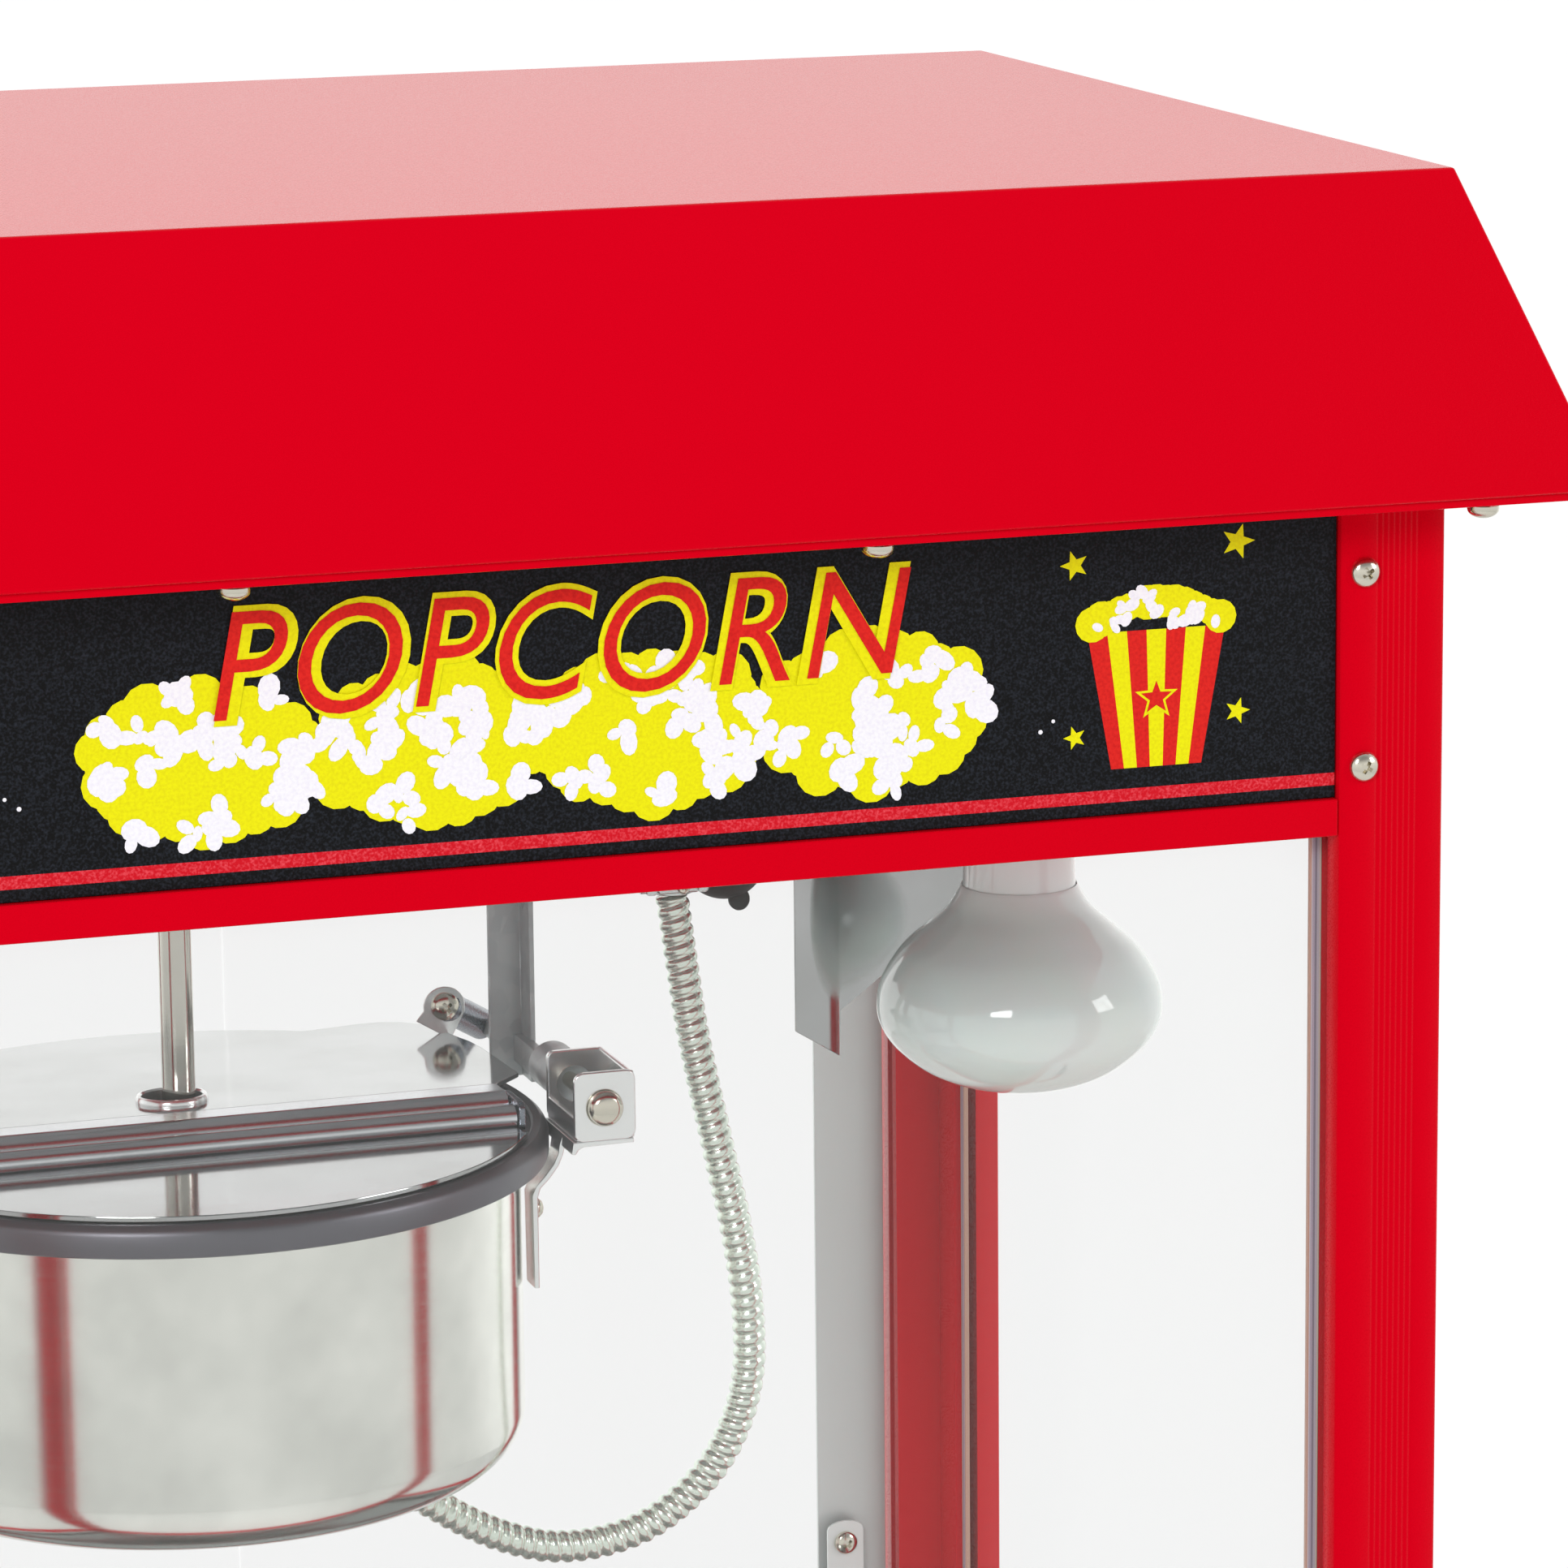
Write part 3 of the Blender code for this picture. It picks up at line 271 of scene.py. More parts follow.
def stainless_strip():
    """Stainless steel strip, rolled and wound: greyish white with fine marks along the winding."""
    made, tree, shader = new_material("wound_stainless_strip", "#E9F3E8", 0.22, 0.85)
    uv = add_node(tree, "ShaderNodeUVMap", {"uv_map": "along"})
    grain = add_node(tree, "ShaderNodeMapping", {"Scale": (900, 6, 1)}, {"Vector": uv.outputs["UV"]})
    marks = add_node(tree, "ShaderNodeTexNoise", {"Scale": 3.0, "Detail": 4.0}, {"Vector": grain.outputs["Vector"]})
    rough = add_node(
        tree, "ShaderNodeMapRange", {"To Min": 0.14, "To Max": 0.34}, {"Value": marks.outputs["Fac"]}
    )
    tree.links.new(rough.outputs["Result"], shader.inputs["Roughness"])
    dent = add_node(
        tree, "ShaderNodeBump", {"Strength": 0.12, "Distance": 0.0002}, {"Height": marks.outputs["Fac"]}
    )
    tree.links.new(dent.outputs["Normal"], shader.inputs["Normal"])
    return made


def wind_conduit():
    """A ribbed tube swept along the route, each rib a rounded band with a step beside it, wound as a screw."""
    radius, pitch, sides, per_rib = 0.00475, 0.0038, 28, 8
    band = [0.84, 0.93, 0.99, 1.0, 1.0, 0.985, 0.92, 0.84]
    _, length = even_steps(smooth_route(CONDUIT_ROUTE, 8), 10)
    count = round(length / pitch) * per_rib
    centres, length = even_steps(smooth_route(CONDUIT_ROUTE, 8), count)
    shape = bmesh.new()
    uv = shape.loops.layers.uv.new("along")
    side_way = Vector((0, 1, 0))
    rings = []
    for index, centre in enumerate(centres):
        before, after = centres[max(index - 1, 0)], centres[min(index + 1, count)]
        ahead = (after - before).normalized()
        across = (side_way - ahead * side_way.dot(ahead)).normalized()
        up = ahead.cross(across)
        ring = []
        for side in range(sides):
            angle = math.tau * side / sides
            phase = (index / per_rib - side / sides) % 1.0 * len(band)
            low = int(phase)
            part = phase - low
            swell = band[low] * (1 - part) + band[(low + 1) % len(band)] * part
            out = across * math.cos(angle) + up * math.sin(angle)
            ring.append(shape.verts.new(centre + out * radius * swell))
        rings.append(ring)
    for index, (near, far) in enumerate(zip(rings, rings[1:])):
        for side in range(sides):
            after = (side + 1) % sides
            face = shape.faces.new([near[side], near[after], far[after], far[side]])
            corners = [(side, index), (side + 1, index), (side + 1, index + 1), (side, index + 1)]
            for loop, (turn, step) in zip(face.loops, corners):
                loop[uv].uv = (step * length / count, turn / sides)
    shape.faces.new(list(reversed(rings[0])))
    shape.faces.new(rings[-1])
    bmesh.ops.recalc_face_normals(shape, faces=shape.faces)
    mesh = bpy.data.meshes.new("steel_conduit")
    shape.to_mesh(mesh)
    shape.free()
    conduit = bpy.data.objects.new("steel_conduit", mesh)
    bpy.context.collection.objects.link(conduit)
    mesh.shade_smooth()
    conduit.data.materials.append(stainless_strip())
    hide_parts("conduit")
    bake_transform(conduit)


wind_conduit()

# Roof canopy.
# One sheet of steel, folded to a flat top, four slopes and a hemmed foot, and powder coated in glossy red. The coat
# levels into a fine orange peel, so the slopes show a soft grain and the flat top a pale sheen at a low angle.


def red_powder_coat():
    """Polyester powder coat: deep red, with an orange peel of about 1.3 mm and a finer grain in it.

    Its gloss is tinted red when faced squarely, more than a real coat's is, so upright faces show no white haze.
    """
    peel, grain = 0.0013, 0.00045
    made, tree, shader = new_material("red_powder_coat", "#DC0216", 0.28, 0.0, IOR=1.48)
    shader.inputs["Specular Tint"].default_value = (0.9, 0.01, 0.03, 1.0)
    place = add_node(tree, "ShaderNodeTexCoord")
    wide = add_node(
        tree, "ShaderNodeTexNoise", {"Scale": 1 / peel, "Detail": 2.0}, {"Vector": place.outputs["Object"]}
    )
    fine = add_node(
        tree, "ShaderNodeTexNoise", {"Scale": 1 / grain, "Detail": 3.0}, {"Vector": place.outputs["Object"]}
    )
    both = add_node(
        tree, "ShaderNodeMath", {"operation": "ADD"}, {0: wide.outputs["Fac"], 1: fine.outputs["Fac"]}
    )
    dent = add_node(
        tree, "ShaderNodeBump", {"Strength": 0.3, "Distance": 0.00012}, {"Height": both.outputs["Value"]}
    )
    tree.links.new(dent.outputs["Normal"], shader.inputs["Normal"])
    drift = add_node(tree, "ShaderNodeTexNoise", {"Scale": 3.0, "Detail": 1.0}, {"Vector": place.outputs["Object"]})
    mixed = add_node(
        tree,
        "ShaderNodeMix",
        {"data_type": "RGBA", 6: srgb("#D30015"), 7: srgb("#DC001D")},
        {0: drift.outputs["Fac"]},
    )
    tree.links.new(mixed.outputs[2], shader.inputs["Base Color"])
    gloss = add_node(tree, "ShaderNodeMapRange", {"To Min": 0.22, "To Max": 0.34}, {"Value": fine.outputs["Fac"]})
    tree.links.new(gloss.outputs["Result"], shader.inputs["Roughness"])
    return made


RED = red_powder_coat()


def start_clean():
    """Leaves edit mode and deselects everything, so that an operator acts on the new piece alone."""
    if bpy.context.mode != "OBJECT":
        bpy.ops.object.mode_set(mode="OBJECT")
    bpy.ops.object.select_all(action="DESELECT")


def work_on(piece):
    """Makes a piece the only one selected."""
    start_clean()
    piece.select_set(True)
    bpy.context.view_layer.objects.active = piece


def apply_modifier(piece, kind, **settings):
    """Adds a modifier with its settings and applies it."""
    work_on(piece)
    modifier = piece.modifiers.new(kind.lower(), kind)
    for name, value in settings.items():
        setattr(modifier, name, value)
    bpy.ops.object.modifier_apply(modifier=modifier.name)


def round_edges(piece, width, segments=2, limit=30):
    """Bevels every edge that turns by more than limit degrees, and smooths across the gentle ones."""
    apply_modifier(
        piece,
        "BEVEL",
        width=width,
        segments=segments,
        limit_method="ANGLE",
        angle_limit=math.radians(limit),
        harden_normals=False,
    )
    bpy.ops.object.shade_smooth_by_angle(angle=math.radians(38))
    apply_modifier(piece, "WEIGHTED_NORMAL", keep_sharp=True)
    return piece


def soft_copy(name, node, width, segments=2):
    """A copy of a node's mesh, merged to plain faces, with its edges rounded as folded sheet has them."""
    piece = bpy.data.objects.new(name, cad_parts[node].data.copy())
    piece.data.name = name
    bpy.context.collection.objects.link(piece)
    work_on(piece)
    bpy.ops.object.mode_set(mode="EDIT")
    bpy.ops.mesh.select_all(action="SELECT")
    bpy.ops.mesh.remove_doubles(threshold=0.00001)
    bpy.ops.mesh.dissolve_limited(angle_limit=math.radians(0.6))
    bpy.ops.object.mode_set(mode="OBJECT")
    return round_edges(piece, width, segments)


def draw_line(points):
    """One vertex at the first point, extruded from point to point. It leaves edit mode on."""
    start_clean()
    bpy.ops.mesh.primitive_plane_add(size=0.002, location=(0, 0, 0))
    bpy.ops.object.mode_set(mode="EDIT")
    bpy.ops.mesh.merge(type="CENTER")
    bpy.ops.transform.translate(value=points[0])
    for before, after in zip(points, points[1:]):
        step = [b - a for a, b in zip(before, after)]
        bpy.ops.mesh.extrude_region_move(TRANSFORM_OT_translate={"value": step})
    return bpy.context.object


def close_shape(piece, name, smooth=38):
    """Merges doubles, turns the faces outwards and smooths a piece in edit mode."""
    bpy.ops.mesh.select_all(action="SELECT")
    bpy.ops.mesh.remove_doubles(threshold=0.000008)
    bpy.ops.mesh.normals_make_consistent(inside=False)
    bpy.ops.object.mode_set(mode="OBJECT")
    bpy.ops.object.shade_smooth_by_angle(angle=math.radians(smooth))
    piece.name = piece.data.name = name
    return piece


def turn_on_lathe(name, profile, centre, steps=64, axis="Z", smooth=38):
    """A profile of (radius, height) spun round an axis through centre."""
    piece = draw_line([(radius, 0, height) for radius, height in profile])
    bpy.ops.mesh.select_all(action="SELECT")
    bpy.ops.mesh.spin(steps=steps, angle=math.tau, center=(0, 0, 0), axis=(0, 0, 1))
    close_shape(piece, name, smooth)
    turn = {"X": Matrix.Rotation(math.radians(90), 4, "Y"), "Y": Matrix.Rotation(math.radians(-90), 4, "X")}
    piece.data.transform(Matrix.Translation(centre) @ turn.get(axis, Matrix.Identity(4)))
    return piece


def extrude_outline(name, points, push, smooth=38):
    """A flat outline of 3-D points, filled and pushed out along push."""
    piece = draw_line(points)
    bpy.ops.mesh.select_all(action="SELECT")
    bpy.ops.mesh.edge_face_add()
    bpy.ops.mesh.extrude_region_move(TRANSFORM_OT_translate={"value": push})
    return close_shape(piece, name, smooth)


def block(name, low, high, edge=0.0004, segments=2):
    """A block between two corners, with its edges rounded."""
    start_clean()
    low, high = Vector(low), Vector(high)
    bpy.ops.mesh.primitive_cube_add(size=1, location=(low + high) / 2, scale=high - low)
    bpy.ops.object.transform_apply(location=True, rotation=True, scale=True)
    piece = bpy.context.object
    piece.name = piece.data.name = name
    return round_edges(piece, edge, segments) if edge else piece


def cut_away(piece, *tools):
    """Cuts the tools out of a piece and removes them."""
    for tool in tools:
        apply_modifier(piece, "BOOLEAN", operation="DIFFERENCE", object=tool, solver="EXACT")
        bpy.data.objects.remove(tool)
    return piece


def join_pieces(name, pieces):
    """Joins pieces into one."""
    start_clean()
    for piece in pieces:
        piece.select_set(True)
    bpy.context.view_layer.objects.active = pieces[0]
    bpy.ops.object.join()
    pieces[0].name = pieces[0].data.name = name
    return pieces[0]


def copy_at(master, name, place):
    """A copy of a piece with its own mesh, moved by a matrix."""
    piece = bpy.data.objects.new(name, master.data.copy())
    piece.data.name = name
    piece.data.transform(place)
    if place.determinant() < 0:
        piece.data.flip_normals()
    bpy.context.collection.objects.link(piece)
    return piece


def fold_roof():
    """The canopy with its folds rounded, and a hem along its foot."""
    fold = 0.0011
    canopy = soft_copy("folded_canopy", "roof_canopy", fold, 3)
    put_on(canopy, RED, "cabinet", "roof_canopy", slot="red_powder_coat")
    low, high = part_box("roof_canopy")
    hem, thick = 0.0022, 0.0009
    half_x, half_y = high.x - 0.0016, high.y - 0.0016
    runs = [
        ((-half_x, -half_y), (half_x, -half_y + thick)),
        ((-half_x, half_y - thick), (half_x, half_y)),
        ((-half_x, -half_y), (-half_x + thick, half_y)),
        ((half_x - thick, -half_y), (half_x, half_y)),
    ]
    strips = [block(f"hem_{n}", (*a, EAVES - hem), (*b, EAVES), 0.0003) for n, (a, b) in enumerate(runs)]
    put_on(join_pieces("canopy_hem", strips), RED, "cabinet", slot="red_powder_coat")


fold_roof()

# Screws of the canopy and the posts.
# Pan-head and dome-head screws of nickel-plated steel, with a cross recess. They stand under the eaves and in the
# flat beside the posts' flutes.


def nickel_plate():
    """Nickel plate, barrel finished: warm bright metal with faint tumbling marks of about 0.5 mm."""
    made, tree, shader = new_material("nickel_plate", "#D9D4C6", 0.16, 1.0)
    place = add_node(tree, "ShaderNodeTexCoord")
    marks = add_node(tree, "ShaderNodeTexNoise", {"Scale": 2000.0, "Detail": 3.0}, {"Vector": place.outputs["Object"]})
    rough = add_node(tree, "ShaderNodeMapRange", {"To Min": 0.1, "To Max": 0.26}, {"Value": marks.outputs["Fac"]})
    tree.links.new(rough.outputs["Result"], shader.inputs["Roughness"])
    return made


NICKEL = nickel_plate()


def make_screw_head(radius, height, shank=0.0012):
    """A domed head on its own axis, standing on Z = 0, with a tapered cross recess in its crown."""
    rise, profile = 8, [(0, -shank), (radius * 0.45, -shank), (radius * 0.45, 0), (radius, 0)]
    for step in range(rise):
        angle = math.radians(90 * step / rise)
        profile.append((radius * math.cos(angle), height * (0.25 + 0.75 * math.sin(angle))))
    profile.append((0, height))
    head = turn_on_lathe("screw_head", profile, (0, 0, 0), 32)
    arm, half, depth = radius * 0.52, radius * 0.13, height * 0.62
    for turn in (0, 90):
        wing = [(-arm, height * 1.2), (arm, height * 1.2), (arm * 0.45, height - depth), (-arm * 0.45, height - depth)]
        tool = extrude_outline("recess", [(x, -half, z) for x, z in wing], (0, 2 * half, 0))
        tool.data.transform(Matrix.Rotation(math.radians(turn + 20), 4, "Z"))
        cut_away(head, tool)
    work_on(head)
    bpy.ops.object.shade_smooth_by_angle(angle=math.radians(30))
    return head


def facing(place, direction, spin=0):
    """A matrix that puts something standing on Z = 0 at a place, with its Z along direction."""
    turn = Vector(direction).to_track_quat("Z", "Y").to_matrix().to_4x4()
    return Matrix.Translation(place) @ turn @ Matrix.Rotation(math.radians(spin), 4, "Z")


def fit_canopy_screws():
    """Dome heads under the canopy's flange, four along each long side and three along each short one."""
    master = make_screw_head(0.0042, 0.0034, 0.0030)
    spots = [(x, side * 0.2035) for side in (-1, 1) for x in (-0.2475, -0.0825, 0.0825, 0.2475)]
    spots += [(side * 0.2710, y) for side in (-1, 1) for y in (-0.120, 0.0, 0.120)]
    heads = [
        copy_at(master, "canopy_screw", facing((x, y, EAVES - 0.0026), (0, 0, -1), 37 * n))
        for n, (x, y) in enumerate(spots)
    ]
    bpy.data.objects.remove(master)
    put_on(join_pieces("canopy_screws", heads), NICKEL, "cabinet", slot="chrome")


fit_canopy_screws()

# Corner posts.
# Aluminium angles, extruded with eight shallow flutes on each face and a groove in each leg for the panes, powder
# coated with the rest. Two pan-head screws fix each header end.

BODY_X, BODY_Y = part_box("post_front_right")[1].x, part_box("post_rear_right")[1].y
POST_LEG = BODY_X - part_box("post_front_right")[0].x


def post_face():
    """One leg's outer face from the corner to its edge, as (distance along the face, depth under it)."""
    first, pitch, depth, flutes, parts = 0.0068, 0.0016, 0.00032, 8, 5
    points = [(0.0009, 0.0)]
    for flute in range(flutes):
        for part in range(parts):
            along = first + (flute + part / parts) * pitch
            points.append((along, depth * (1 - math.cos(math.tau * part / parts)) / 2))
    points += [(first + flutes * pitch, 0.0), (POST_LEG - 0.0005, 0.0), (POST_LEG, 0.0005)]
    return points


def extrude_posts():
    """One post drawn at the outer corner, extruded to its height, and three mirrored copies."""
    depth, near, far, groove = 0.015, 0.0076, 0.0116, 0.008
    low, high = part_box("post_front_right")
    face = post_face()
    outline = [
        *face,
        (POST_LEG, near),
        (POST_LEG - groove, near),
        (POST_LEG - groove, far),
        (POST_LEG, far),
        (POST_LEG, depth),
        (depth, depth),
        (depth, POST_LEG),
        (far, POST_LEG),
        (far, POST_LEG - groove),
        (near, POST_LEG - groove),
        (near, POST_LEG),
        *[(b, a) for a, b in reversed(face)],
        (0.0003, 0.0003),
    ]
    master = extrude_outline("post", [(u, v, low.z) for u, v in outline], (0, 0, high.z - low.z), 50)
    for end, back in (("front", -1), ("rear", 1)):
        for side, right in (("left", -1), ("right", 1)):
            place = Matrix.Translation((right * BODY_X, back * BODY_Y, 0)) @ Matrix.Diagonal((-right, -back, 1, 1))
            name = f"post_{end}_{side}"
            put_on(copy_at(master, f"fluted_{name}", place), RED, "cabinet", name, slot="red_powder_coat")
    bpy.data.objects.remove(master)


def fit_post_screws():
    """Pan heads beside the flutes, two on each face of each post."""
    master = make_screw_head(0.0040, 0.0027)
    inset, drops = POST_LEG - 0.0067, (0.0214, 0.0729)
    heads = []
    for back in (-1, 1):
        for right in (-1, 1):
            for number, drop in enumerate(drops):
                spin = 31 * number + 17 * right + 7 * back
                spot = (right * (BODY_X - inset), back * BODY_Y, EAVES - drop)
                heads.append(copy_at(master, "post_screw", facing(spot, (0, back, 0), spin)))
                spot = (right * BODY_X, back * (BODY_Y - inset), EAVES - drop)
                heads.append(copy_at(master, "post_screw", facing(spot, (right, 0, 0), spin)))
    bpy.data.objects.remove(master)
    put_on(join_pieces("post_screws", heads), NICKEL, "cabinet", slot="chrome")


extrude_posts()
fit_post_screws()

# Header bands.
# Folded sheet between the posts, with a rail along its foot that the panes stand up to. They are coated with the rest,
# and a bead of coat rounds each fold.


def fold_headers():
    """The four bands, with rounded folds."""
    for side in ("front", "rear", "left", "right"):
        band = soft_copy(f"folded_header_{side}", f"header_{side}", 0.0005)
        put_on(band, RED, "cabinet", f"header_{side}", slot="red_powder_coat")


fold_headers()

# Printed signs.
# Sheets printed on three sides: black with a red line along the foot, heaps of popcorn in yellow and white, a plain
# word for the goods, and a striped carton between stars. Screen print has a dry, grainy surface.


def black_print():
    """Screen print on sheet: black with a bluish grain of about 0.7 mm, and red and black lines along the foot."""
    grain = 0.0007
    made, tree, shader = new_material("black_screen_print", "#141518", 0.5, 0.0, IOR=1.25)
    place = add_node(tree, "ShaderNodeTexCoord")
    speck = add_node(
        tree, "ShaderNodeTexNoise", {"Scale": 1 / grain, "Detail": 4.0}, {"Vector": place.outputs["Object"]}
    )
    ramp = add_node(tree, "ShaderNodeValToRGB", None, {"Fac": speck.outputs["Fac"]})
    ramp.color_ramp.elements[0].position, ramp.color_ramp.elements[0].color = 0.44, srgb("#050507")
    ramp.color_ramp.elements[1].position, ramp.color_ramp.elements[1].color = 0.74, srgb("#262A33")
    red = add_node(tree, "ShaderNodeValToRGB", None, {"Fac": speck.outputs["Fac"]})
    red.color_ramp.elements[0].position, red.color_ramp.elements[0].color = 0.45, srgb("#D3091F")
    red.color_ramp.elements[1].position, red.color_ramp.elements[1].color = 0.75, srgb("#F0505C")
    height = add_node(tree, "ShaderNodeSeparateXYZ", None, {"Vector": place.outputs["Object"]})
    above = add_node(
        tree, "ShaderNodeMath", {"operation": "GREATER_THAN", 1: EAVES - 0.07775}, {0: height.outputs["Z"]}
    )
    below = add_node(tree, "ShaderNodeMath", {"operation": "LESS_THAN", 1: EAVES - 0.0744}, {0: height.outputs["Z"]})
    line = add_node(
        tree, "ShaderNodeMath", {"operation": "MULTIPLY"}, {0: above.outputs["Value"], 1: below.outputs["Value"]}
    )
    mixed = add_node(
        tree,
        "ShaderNodeMix",
        {"data_type": "RGBA"},
        {0: line.outputs["Value"], 6: ramp.outputs["Color"], 7: red.outputs["Color"]},
    )
    tree.links.new(mixed.outputs[2], shader.inputs["Base Color"])
    dent = add_node(tree, "ShaderNodeBump", {"Strength": 0.2, "Distance": 0.0001}, {"Height": speck.outputs["Fac"]})
    tree.links.new(dent.outputs["Normal"], shader.inputs["Normal"])
    return made


def print_ink(name, colour, deeper):
    """Screen-printing ink: flat colour that thins a little over the sheet's grain, every 0.9 mm."""
    made, tree, shader = new_material(name, colour, 0.5, 0.0, IOR=1.25)
    place = add_node(tree, "ShaderNodeTexCoord")
    speck = add_node(tree, "ShaderNodeTexNoise", {"Scale": 1100.0, "Detail": 3.0}, {"Vector": place.outputs["Object"]})
    ramp = add_node(tree, "ShaderNodeValToRGB", None, {"Fac": speck.outputs["Fac"]})
    ramp.color_ramp.elements[0].position, ramp.color_ramp.elements[0].color = 0.3, srgb(deeper)
    ramp.color_ramp.elements[1].position, ramp.color_ramp.elements[1].color = 0.6, srgb(colour)
    tree.links.new(ramp.outputs["Color"], shader.inputs["Base Color"])
    return made


INKS = {
    "yellow": print_ink("yellow_ink", "#F2EE00", "#E6DE00"),
    "white": print_ink("white_ink", "#FBFAFF", "#F1EEFA"),
    "red": print_ink("red_ink", "#E3231C", "#CF1614"),
}


def ink_outline(shape, points, lift):
    """One flat printed patch on the sign, drawn in (along, height) and lifted off the sheet."""
    shape.faces.new([shape.verts.new((u, -lift, v)) for u, v in points])


def ring_points(u, v, radius, count=14, squeeze=1.0, turn=0.0):
    """Points round an ellipse."""
    points = []
    for step in range(count):
        angle = math.tau * step / count
        x, y = radius * math.cos(angle), radius * squeeze * math.sin(angle)
        points.append((u + x * math.cos(turn) - y * math.sin(turn), v + x * math.sin(turn) + y * math.cos(turn)))
    return points


def star_points(u, v, radius, turn=0.0):
    """Points of a five-pointed star."""
    return [
        (
            u + radius * (1 if step % 2 == 0 else 0.42) * math.sin(math.radians(36 * step) + turn),
            v + radius * (1 if step % 2 == 0 else 0.42) * math.cos(math.radians(36 * step) + turn),
        )
        for step in range(10)
    ]


def print_popcorn(inks, centre_u, centre_v, draw, half_u=0.0330, half_v=0.0215):
    """A heap of popped corn: a scalloped yellow cloud with white blobs in threes on it."""
    puffs = 24
    for puff in range(puffs):
        angle = math.tau * puff / puffs
        swell = draw.uniform(0.86, 1.02)
        u = centre_u + half_u * swell * math.cos(angle) * 0.84
        v = centre_v + half_v * swell * math.sin(angle) * 0.80
        ink_outline(inks["yellow"], ring_points(u, v, draw.uniform(0.0048, 0.0066)), 0.00005 + 0.000001 * puff)
    ink_outline(inks["yellow"], ring_points(centre_u, centre_v, half_u * 0.88, 40, half_v / half_u), 0.00004)
    for blob in range(28):
        reach = math.sqrt(draw.uniform(0.0, 1.0))
        angle = draw.uniform(0, math.tau)
        u = centre_u + half_u * 0.92 * reach * math.cos(angle)
        v = centre_v + half_v * 0.92 * reach * math.sin(angle)
        heading = draw.uniform(0, math.tau)
        for lobe in range(3):
            bend = heading + 1.15 * (lobe - 1) * (1 if lobe else 0.6)
            size = draw.uniform(0.0020, 0.0036)
            spot = (u + 0.0036 * (lobe - 1) * math.cos(bend), v + 0.0036 * (lobe - 1) * math.sin(bend))
            patch = ring_points(*spot, size, 12, draw.uniform(0.6, 0.9), bend)
            ink_outline(inks["white"], patch, 0.00009 + 0.000001 * (3 * blob + lobe))


def print_carton(inks, centre, draw):
    """A striped carton of popcorn with stars on it, between the printed line and the sign's top."""
    foot, brim = EAVES - 0.0690, EAVES - 0.0330
    low_half, high_half, stripes = 0.0125, 0.0190, 7
    for stripe in range(stripes):
        a, b = -1 + 2 * stripe / stripes, -1 + 2 * (stripe + 1) / stripes
        patch = [
            (centre + a * low_half, foot),
            (centre + b * low_half, foot),
            (centre + b * high_half, brim),
            (centre + a * high_half, brim),
        ]
        ink_outline(inks["red" if stripe % 2 == 0 else "yellow"], patch, 0.00006)
    ink_outline(inks["yellow"], star_points(centre, EAVES - 0.0510, 0.0062), 0.00010)
    ink_outline(inks["red"], star_points(centre, EAVES - 0.0510, 0.0045), 0.00014)
    for step in range(15):
        u = centre + high_half * (-1 + 2 * step / 14) * 0.93
        v = brim + 0.0015 + 0.0058 * (1 - ((u - centre) / high_half) ** 2)
        ink_outline(inks["yellow"], ring_points(u, v, draw.uniform(0.0034, 0.0048)), 0.00016 + 0.000001 * step)
    for step in range(26):
        u = centre + high_half * draw.uniform(-0.9, 0.9)
        v = brim + 0.0010 + draw.uniform(0.0, 0.0095) * (1 - ((u - centre) / high_half) ** 2)
        patch = ring_points(u, v, draw.uniform(0.0013, 0.0024), 12, 0.7, draw.uniform(0, 3))
        ink_outline(inks["white"], patch, 0.00020 + 0.000001 * step)
    for side, drop, size in ((-1, 0.0150, 0.0040), (1, 0.0115, 0.0048), (1, 0.0560, 0.0036), (-1, 0.0600, 0.0032)):
        ink_outline(inks["yellow"], star_points(centre + side * 0.0225, EAVES - drop, size, 0.3 * side), 0.00006)


def print_word(outline, lift, depth):
    """The word in plain slanted letters, made a mesh and stood up against the sign."""
    start_clean()
    bpy.ops.object.text_add(location=(0, 0, 0))
    piece = bpy.context.object
    text = piece.data
    text.body = "POPCORN"
    text.size, text.shear, text.space_character = 0.0400, 0.22, 1.08
    text.offset, text.extrude, text.resolution_u = outline, depth, 6
    bpy.ops.object.convert(target="MESH")
    start_u, end_u, foot = -0.0840, 0.0980, EAVES - 0.0395
    low_x, high_x = min(v.co.x for v in piece.data.vertices), max(v.co.x for v in piece.data.vertices)
    stretch = (end_u - start_u) / (high_x - low_x)
    stand = Matrix.Rotation(math.radians(90), 4, "X")
    place = Matrix.Translation((start_u - low_x * stretch, -lift, foot)) @ stand @ Matrix.Diagonal((stretch, 1, 1, 1))
    piece.data.transform(place)
    return piece


